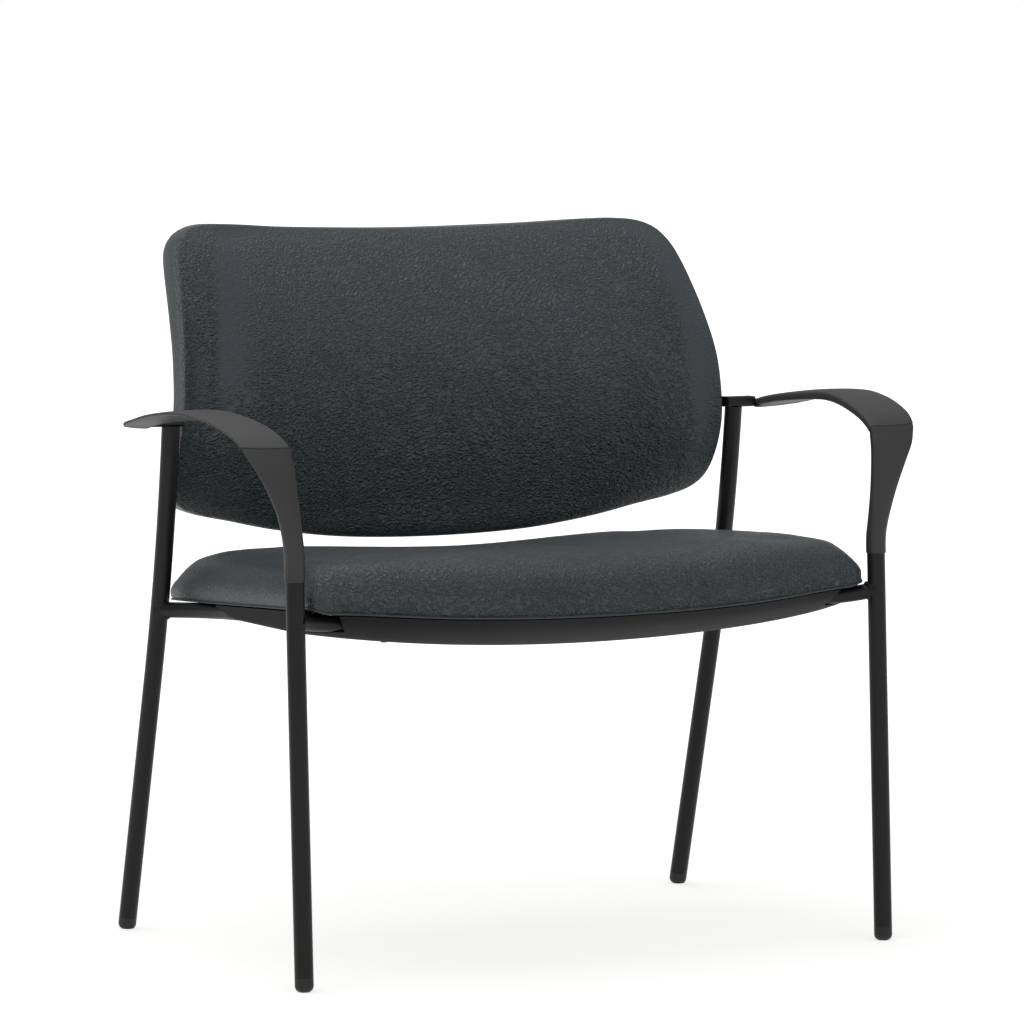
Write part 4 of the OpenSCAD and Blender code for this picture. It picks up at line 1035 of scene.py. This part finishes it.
def make_arm_top():
    """Thin soft cap over the arm's upper face, from the crease to the rear end."""
    rows = arm_rows()
    over = np.radians(np.linspace(*PAD_ARC, PAD_SIDES))
    first, last = CREASE_ROW + CAP_START, PAD_END_ROW

    def section(k, lift):
        outer = arm_ring(rows, k, over, lift)
        inner = arm_ring(rows, k, over[::-1], -PAD_SINK)
        rim0 = arm_ring(rows, k, over[:1] - RIM_ANGLE, lift * RIM_LIFT)
        rim1 = arm_ring(rows, k, over[-1:] + RIM_ANGLE, lift * RIM_LIFT)
        return np.vstack([rim0, outer, rim1, inner])

    stations = [(first + k, lift) for k, lift in CAP_FRONT]
    stations += [(k, PAD_LIFT) for k in range(CREASE_ROW + 1, last)]
    stations += [(last + k, lift) for k, lift in CAP_REAR]
    return ringed("arm_top_right", [section(k, lift) for k, lift in stations])


# Welds


def leg_frame(height, rear):
    """Middle and direction of a right leg's axis at a height."""
    if rear:
        lean = math.asin(math.sin(REAR_RAKE) - (height - KNEE_H) / BEND_R)
        knee_y = FOOT_SPREAD - KNEE_H * math.tan(REAR_RAKE)
        y = knee_y - BEND_R * (math.cos(lean) - math.cos(REAR_RAKE))
        return np.array([LEG_X, y, height]), np.array([0, -math.sin(lean), math.cos(lean)])
    y = height * math.tan(FRONT_RAKE)
    return np.array([LEG_X, y, height]), np.array([0, math.sin(FRONT_RAKE), math.cos(FRONT_RAKE)])


# Name, height on the leg, whether the leg is a rear one, and direction along the rail to the leg
WELDS = (
    ("weld_front", 0.427, False, (0.774, -0.59, 0.237)),
    ("weld_rear", 0.4043, True, (0.50, 0.865, -0.05)),
)
# Section of the fillet in shares of its size: its reach off the rail, and its place along the rail
WELD_PROFILE = ((0.25, -0.80), (0.6, -0.45), (0.85, -0.10), (0.9, 0.25), (0.4, 0.5))
WELD_ROOT, WELD_TOE, WELD_SECTIONS, WELD_STEEPEST = 1.5 * MM, 0.2 * MM, 72, 0.2


def make_weld(name, height, rear, rail_run, size):
    """Weld fillet round the end of a rail at a leg: a torus whose sections are set one by one."""
    middle, axis = leg_frame(height, rear)
    run = np.array(rail_run) / np.linalg.norm(rail_run)
    up = axis - run * (axis @ run)
    up /= np.linalg.norm(up)
    side = np.cross(run, up)
    profile = [(RAIL_R - WELD_ROOT, -0.6 * size), (RAIL_R - WELD_TOE, -1.0 * size)]
    profile += [(RAIL_R + off * size, back * size) for off, back in WELD_PROFILE]
    profile.append((RAIL_R - WELD_ROOT, 0.5 * size))
    slope = math.sqrt(max(1 - (run @ axis) ** 2, WELD_STEEPEST))
    rings = []
    for w in np.linspace(0, 2 * np.pi, WELD_SECTIONS, endpoint=False):
        ripple = 1 + 0.10 * math.sin(13 * w) + 0.05 * math.sin(29 * w + 1)
        ring = []
        for radius, back in profile:
            reach = RAIL_R + (radius - RAIL_R) * ripple
            offset = side * reach * math.cos(w) + up * reach * math.sin(w)
            across = np.linalg.norm(np.cross(offset, axis))
            gap = math.sqrt(max(LEG_R**2 - min(across, LEG_R) ** 2, 0))
            ring.append(middle + offset - run * gap / slope + run * back)
        rings.append(ring)
    clear()
    bpy.ops.mesh.primitive_torus_add(
        major_segments=WELD_SECTIONS, minor_segments=len(profile), major_radius=RAIL_R, minor_radius=MM,
    )
    piece = named(bpy.context.object, name)
    set_coordinates(piece, np.array(rings) - ORIGIN)
    return faced_out(piece)


# Sizes and colours


def metres(name, description, default, least, most):
    return FloatProperty(
        name=name, description=description, default=default, min=least, max=most, unit="LENGTH"
    )


def tint(name, description, default):
    return FloatVectorProperty(
        name=name, description=description, default=default, subtype="COLOR", size=3, min=0, max=1
    )


class ChairSizes(bpy.types.PropertyGroup):
    cushion_h: metres("Cushion Height", "Thickness of the seat cushion over its seam", 0.0585, 0.04, 0.08)
    seat_dish: metres("Seat Dish", "Depth of the hollow in the middle of the seat", 0.009, 0.0, 0.02)
    corner_tuck: metres("Corner Tuck", "Depth of the fold at the seat's front corners", 0.0035, 0.0, 0.01)
    back_crown: metres("Back Crown", "Crown of the back's padded face", 0.011, 0.0, 0.02)
    side_valley: metres("Side Valley", "Depth of the hollow inside the back's side edges", 0.010, 0.0, 0.015)
    lower_roll: metres("Lower Roll", "How far the back's lower edge rolls rearwards", 0.005, 0.0, 0.01)
    rear_drop: metres("Rear Drop", "Drop of the back's upper corners, front to rear", 0.014, 0.0, 0.02)
    weld: metres("Weld", "Size of the weld fillets at the legs", 0.0032, 0.001, 0.006)
    voxel: metres("Cushion Skin", "Mesh size of the skins that are blown up", 0.006, 0.004, 0.02)


class ChairColours(bpy.types.PropertyGroup):
    vinyl: tint("Vinyl", "Colour of the upholstery", (0.030, 0.041, 0.046))
    coat: tint("Frame Coat", "Colour of the steel tubes", (0.007, 0.007, 0.007))
    arms: tint("Arms", "Colour of the arm mouldings", (0.031, 0.0305, 0.030))
    pads: tint("Arm Tops", "Colour of the soft caps on the arms", (0.046, 0.045, 0.0445))
    pan: tint("Pan", "Colour of the moulded pan", (0.010, 0.0102, 0.010))


# Operators

NYLON = (0.010, 0.010, 0.010)
STEEL_NODES = (
    "front_leg", "rear_leg", "side_rail", "front_cross", "rear_cross", "seat_tabs", "back_bracket",
)


class CHAIR_OT_frame(bpy.types.Operator):
    """Coat the steel frame and its brackets, and dress the glides, boards and fasteners"""

    bl_idname = "chair.frame"
    bl_label = "Frame"

    def execute(self, context):
        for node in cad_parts:
            if node.startswith(STEEL_NODES):
                dress(node, black_coat())
            elif node.startswith("glide"):
                dress(node, plastic("black_nylon", NYLON, 0.5))
            elif node.startswith(("seat_pan", "pan_")):
                dress(node, pan_plastic())
            elif node in ("seat_board", "back_board"):
                dress(node, plywood())
            else:
                dress(node, zinc())
        return {"FINISHED"}


class CHAIR_OT_welds(bpy.types.Operator):
    """Weld fillets where the rails meet the legs"""

    bl_idname = "chair.welds"
    bl_label = "Welds"

    def execute(self, context):
        for name, height, rear, run in WELDS:
            right = make_weld(name + "_right", height, rear, run, context.scene.chair_sizes.weld)
            smooth(right, 60)
            left = mirror_copy(right, name + "_left")
            for piece in (right, left):
                finish_piece(piece, black_coat())
        return {"FINISHED"}


class CHAIR_OT_arms(bpy.types.Operator):
    """Model the right arm and its soft cap, and copy them to the left"""

    bl_idname = "chair.arms"
    bl_label = "Arms"

    def execute(self, context):
        colours = context.scene.chair_colours
        grey = plastic("arm_plastic", tuple(colours.arms), 0.5)
        soft = plastic("arm_cap", tuple(colours.pads), 0.62, grain_scale=1100, depth=0.16 * MM)
        for name, make, material, node in (
            ("arm_moulding", make_arm, grey, "arm"), ("arm_top", make_arm_top, soft, "arm_pad"),
        ):
            right = make()
            smooth(right, 50)
            left = mirror_copy(right, name + "_left")
            for side, piece in (("right", right), ("left", left)):
                finish_piece(piece, material)
                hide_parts(node + "_" + side)
        return {"FINISHED"}


class CHAIR_OT_seat(bpy.types.Operator):
    """Model the seat cushion and blow it up"""

    bl_idname = "chair.seat"
    bl_label = "Seat Cushion"

    def execute(self, context):
        sizes = context.scene.chair_sizes
        piece = make_seat_cushion(sizes)
        swell(piece, sizes.voxel, seat_held)
        smooth(piece)
        paint(piece, "creased", seat_creases(coordinates(piece)))
        finish_piece(piece, vinyl())
        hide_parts("seat_cushion")
        return {"FINISHED"}


class CHAIR_OT_pan(bpy.types.Operator):
    """Model the moulded pan below the seat"""

    bl_idname = "chair.pan"
    bl_label = "Seat Pan"

    def execute(self, context):
        piece = make_pan()
        smooth(piece, 35)
        finish_piece(piece, pan_plastic())
        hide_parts("seat_pan")
        return {"FINISHED"}


class CHAIR_OT_back(bpy.types.Operator):
    """Model the back's cushion and its rear cover"""

    bl_idname = "chair.back"
    bl_label = "Back"

    def execute(self, context):
        sizes = context.scene.chair_sizes
        piece = make_back_cushion(sizes)
        swell(piece, sizes.voxel, back_held)
        smooth(piece, 70)
        paint(piece, "creased", back_creases(coordinates(piece)))
        finish_piece(piece, vinyl())
        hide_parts("back_cushion")
        cover = make_back_panel(sizes)
        smooth(cover, 70)
        paint(cover, "creased", np.full(len(cover.data.vertices), COVER_CREASES))
        finish_piece(cover, vinyl())
        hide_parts("back_rear_panel")
        return {"FINISHED"}


# The floor: its colour, the distances over which its glow rises, and the glow near and far
FLOOR_SIZE, FLOOR_COLOUR = 60, (0.55, 0.55, 0.54)
GLOW_REACH, GLOW, GLOW_COLOUR = (0.9, 3.5), (0.66, 1.0), (1, 1, 0.995, 1)
# The studio's light: its base, and how far and how much it rises overhead, to the backdrop and to the front
STUDIO_BASE = 0.18
OVERHEAD, BACKDROP, FRONT = ((0.1, 0.9), 0.32), ((0.0, 0.8), 0.25), ((0.0, -0.9), 0.62)
WHITE = (1, 1, 1, 1)


def background(tree, strength):
    return add_node(tree, "Background", Color=WHITE, Strength=strength).outputs[0]


def make_floor():
    """Pale floor that keeps the chair's shadow and runs out into the white background."""
    clear()
    bpy.ops.mesh.primitive_plane_add(size=FLOOR_SIZE, location=(0, 0, 0))
    floor = named(bpy.context.object, "floor")
    f = Finish("pale_floor", FLOOR_COLOUR, roughness=0.9, specular=0.0)
    tree = f.tree
    out = next(n for n in tree.nodes if n.type == "OUTPUT_MATERIAL")
    path = tree.nodes.new("ShaderNodeLightPath")
    seen = math_node(tree, "MAXIMUM", path.outputs["Is Camera Ray"], path.outputs["Is Glossy Ray"])
    seen = math_node(tree, "MAXIMUM", seen, path.outputs["Is Transmission Ray"])
    distance = tree.nodes.new("ShaderNodeVectorMath")
    distance.operation = "LENGTH"
    feed(tree, distance.inputs[0], f.coordinates)
    level = step_node(tree, distance.outputs["Value"], *GLOW_REACH, *GLOW)
    glow = add_node(tree, "Emission", Color=GLOW_COLOUR, Strength=math_node(tree, "MULTIPLY", seen, level))
    add = tree.nodes.new("ShaderNodeAddShader")
    feed(tree, add.inputs[0], f.bsdf.outputs[0])
    feed(tree, add.inputs[1], glow.outputs[0])
    feed(tree, out.inputs["Surface"], add.outputs[0])
    floor.data.materials.append(f.material)


def make_world(scene):
    """White behind the chair. Round it a dim studio that is lighter overhead and towards the backdrop."""
    world = bpy.data.worlds.new("studio")
    scene.world = world
    world.use_nodes = True
    tree = world.node_tree
    tree.nodes.clear()
    out = tree.nodes.new("ShaderNodeOutputWorld")
    split = tree.nodes.new("ShaderNodeSeparateXYZ")
    feed(tree, split.inputs[0], tree.nodes.new("ShaderNodeTexCoord").outputs["Generated"])
    level = STUDIO_BASE
    for axis, (reach, amount) in (("Z", OVERHEAD), ("Y", BACKDROP), ("Y", FRONT)):
        rise = step_node(tree, split.outputs[axis], *reach, 0.0, amount)
        level = math_node(tree, "ADD", rise, level)
    soft = background(tree, level)
    white = background(tree, 1.0)
    path = tree.nodes.new("ShaderNodeLightPath")
    seen = math_node(tree, "MAXIMUM", path.outputs["Is Camera Ray"], path.outputs["Is Transmission Ray"])
    mix = add_node(tree, "MixShader", Fac=seen)
    feed(tree, mix.inputs[1], soft)
    feed(tree, mix.inputs[2], white)
    feed(tree, out.inputs["Surface"], mix.outputs[0])


# Name, place, diameter and power of the lamps, which all point at the chair's middle
LAMPS = (
    ("top_light", (-0.5, 0.3, 3.0), 2.4, 24),
    ("left_light", (-3.0, -1.2, 1.8), 1.6, 7),
)
LAMP_AIM = (0, 0, 0.45)
# The camera stands low to the front left: its place, and its turn and rise round the chair in degrees
CAMERA_PLACE = (-2.9798, -5.7112, 1.0668)
CAMERA_AZIMUTH, CAMERA_ELEVATION = -27.72, 4.873
CAMERA_LENS, CAMERA_SENSOR = 186.33, 36


class CHAIR_OT_stage(bpy.types.Operator):
    """Set the floor, the soft light and the camera"""

    bl_idname = "chair.stage"
    bl_label = "Studio"

    def execute(self, context):
        make_floor()
        make_world(context.scene)
        for name, place, size, power in LAMPS:
            bpy.ops.object.light_add(type="AREA", location=place)
            lamp = bpy.context.object
            lamp.name = name
            lamp.data.shape = "DISK"
            lamp.data.size = size
            lamp.data.energy = power
            aim = Vector(LAMP_AIM) - Vector(place)
            lamp.rotation_euler = aim.to_track_quat("-Z", "Y").to_euler()
        bpy.ops.object.camera_add(location=CAMERA_PLACE)
        camera = bpy.context.object
        azimuth, elevation = math.radians(CAMERA_AZIMUTH), math.radians(CAMERA_ELEVATION)
        ahead = Vector((-math.sin(azimuth), math.cos(azimuth), -math.tan(elevation)))
        camera.rotation_euler = ahead.to_track_quat("-Z", "Y").to_euler()
        camera.data.sensor_width = CAMERA_SENSOR
        camera.data.lens = CAMERA_LENS
        camera.data.clip_end = 100
        context.scene.camera = camera
        context.scene.view_settings.view_transform = "Standard"
        return {"FINISHED"}


class CHAIR_PT_sidebar(bpy.types.Panel):
    bl_label = "Reception Chair"
    bl_space_type = "VIEW_3D"
    bl_region_type = "UI"
    bl_category = "Chair"

    def draw(self, context):
        for group in (context.scene.chair_sizes, context.scene.chair_colours):
            for name in group.bl_rna.properties.keys():
                if name not in ("rna_type", "name"):
                    self.layout.prop(group, name)
        for operator in STEPS:
            self.layout.operator(operator.bl_idname)


STEPS = (
    CHAIR_OT_frame, CHAIR_OT_welds, CHAIR_OT_arms, CHAIR_OT_pan, CHAIR_OT_seat, CHAIR_OT_back,
    CHAIR_OT_stage,
)
CLASSES = (ChairSizes, ChairColours, *STEPS, CHAIR_PT_sidebar)


def register():
    for cls in CLASSES:
        bpy.utils.register_class(cls)
    bpy.types.Scene.chair_sizes = PointerProperty(type=ChairSizes)
    bpy.types.Scene.chair_colours = PointerProperty(type=ChairColours)


def unregister():
    del bpy.types.Scene.chair_colours
    del bpy.types.Scene.chair_sizes
    for cls in reversed(CLASSES):
        bpy.utils.unregister_class(cls)


def main():
    register()
    for step in STEPS:
        group, name = step.bl_idname.split(".")
        getattr(getattr(bpy.ops, group), name)()


if __name__ == "__main__":
    main()
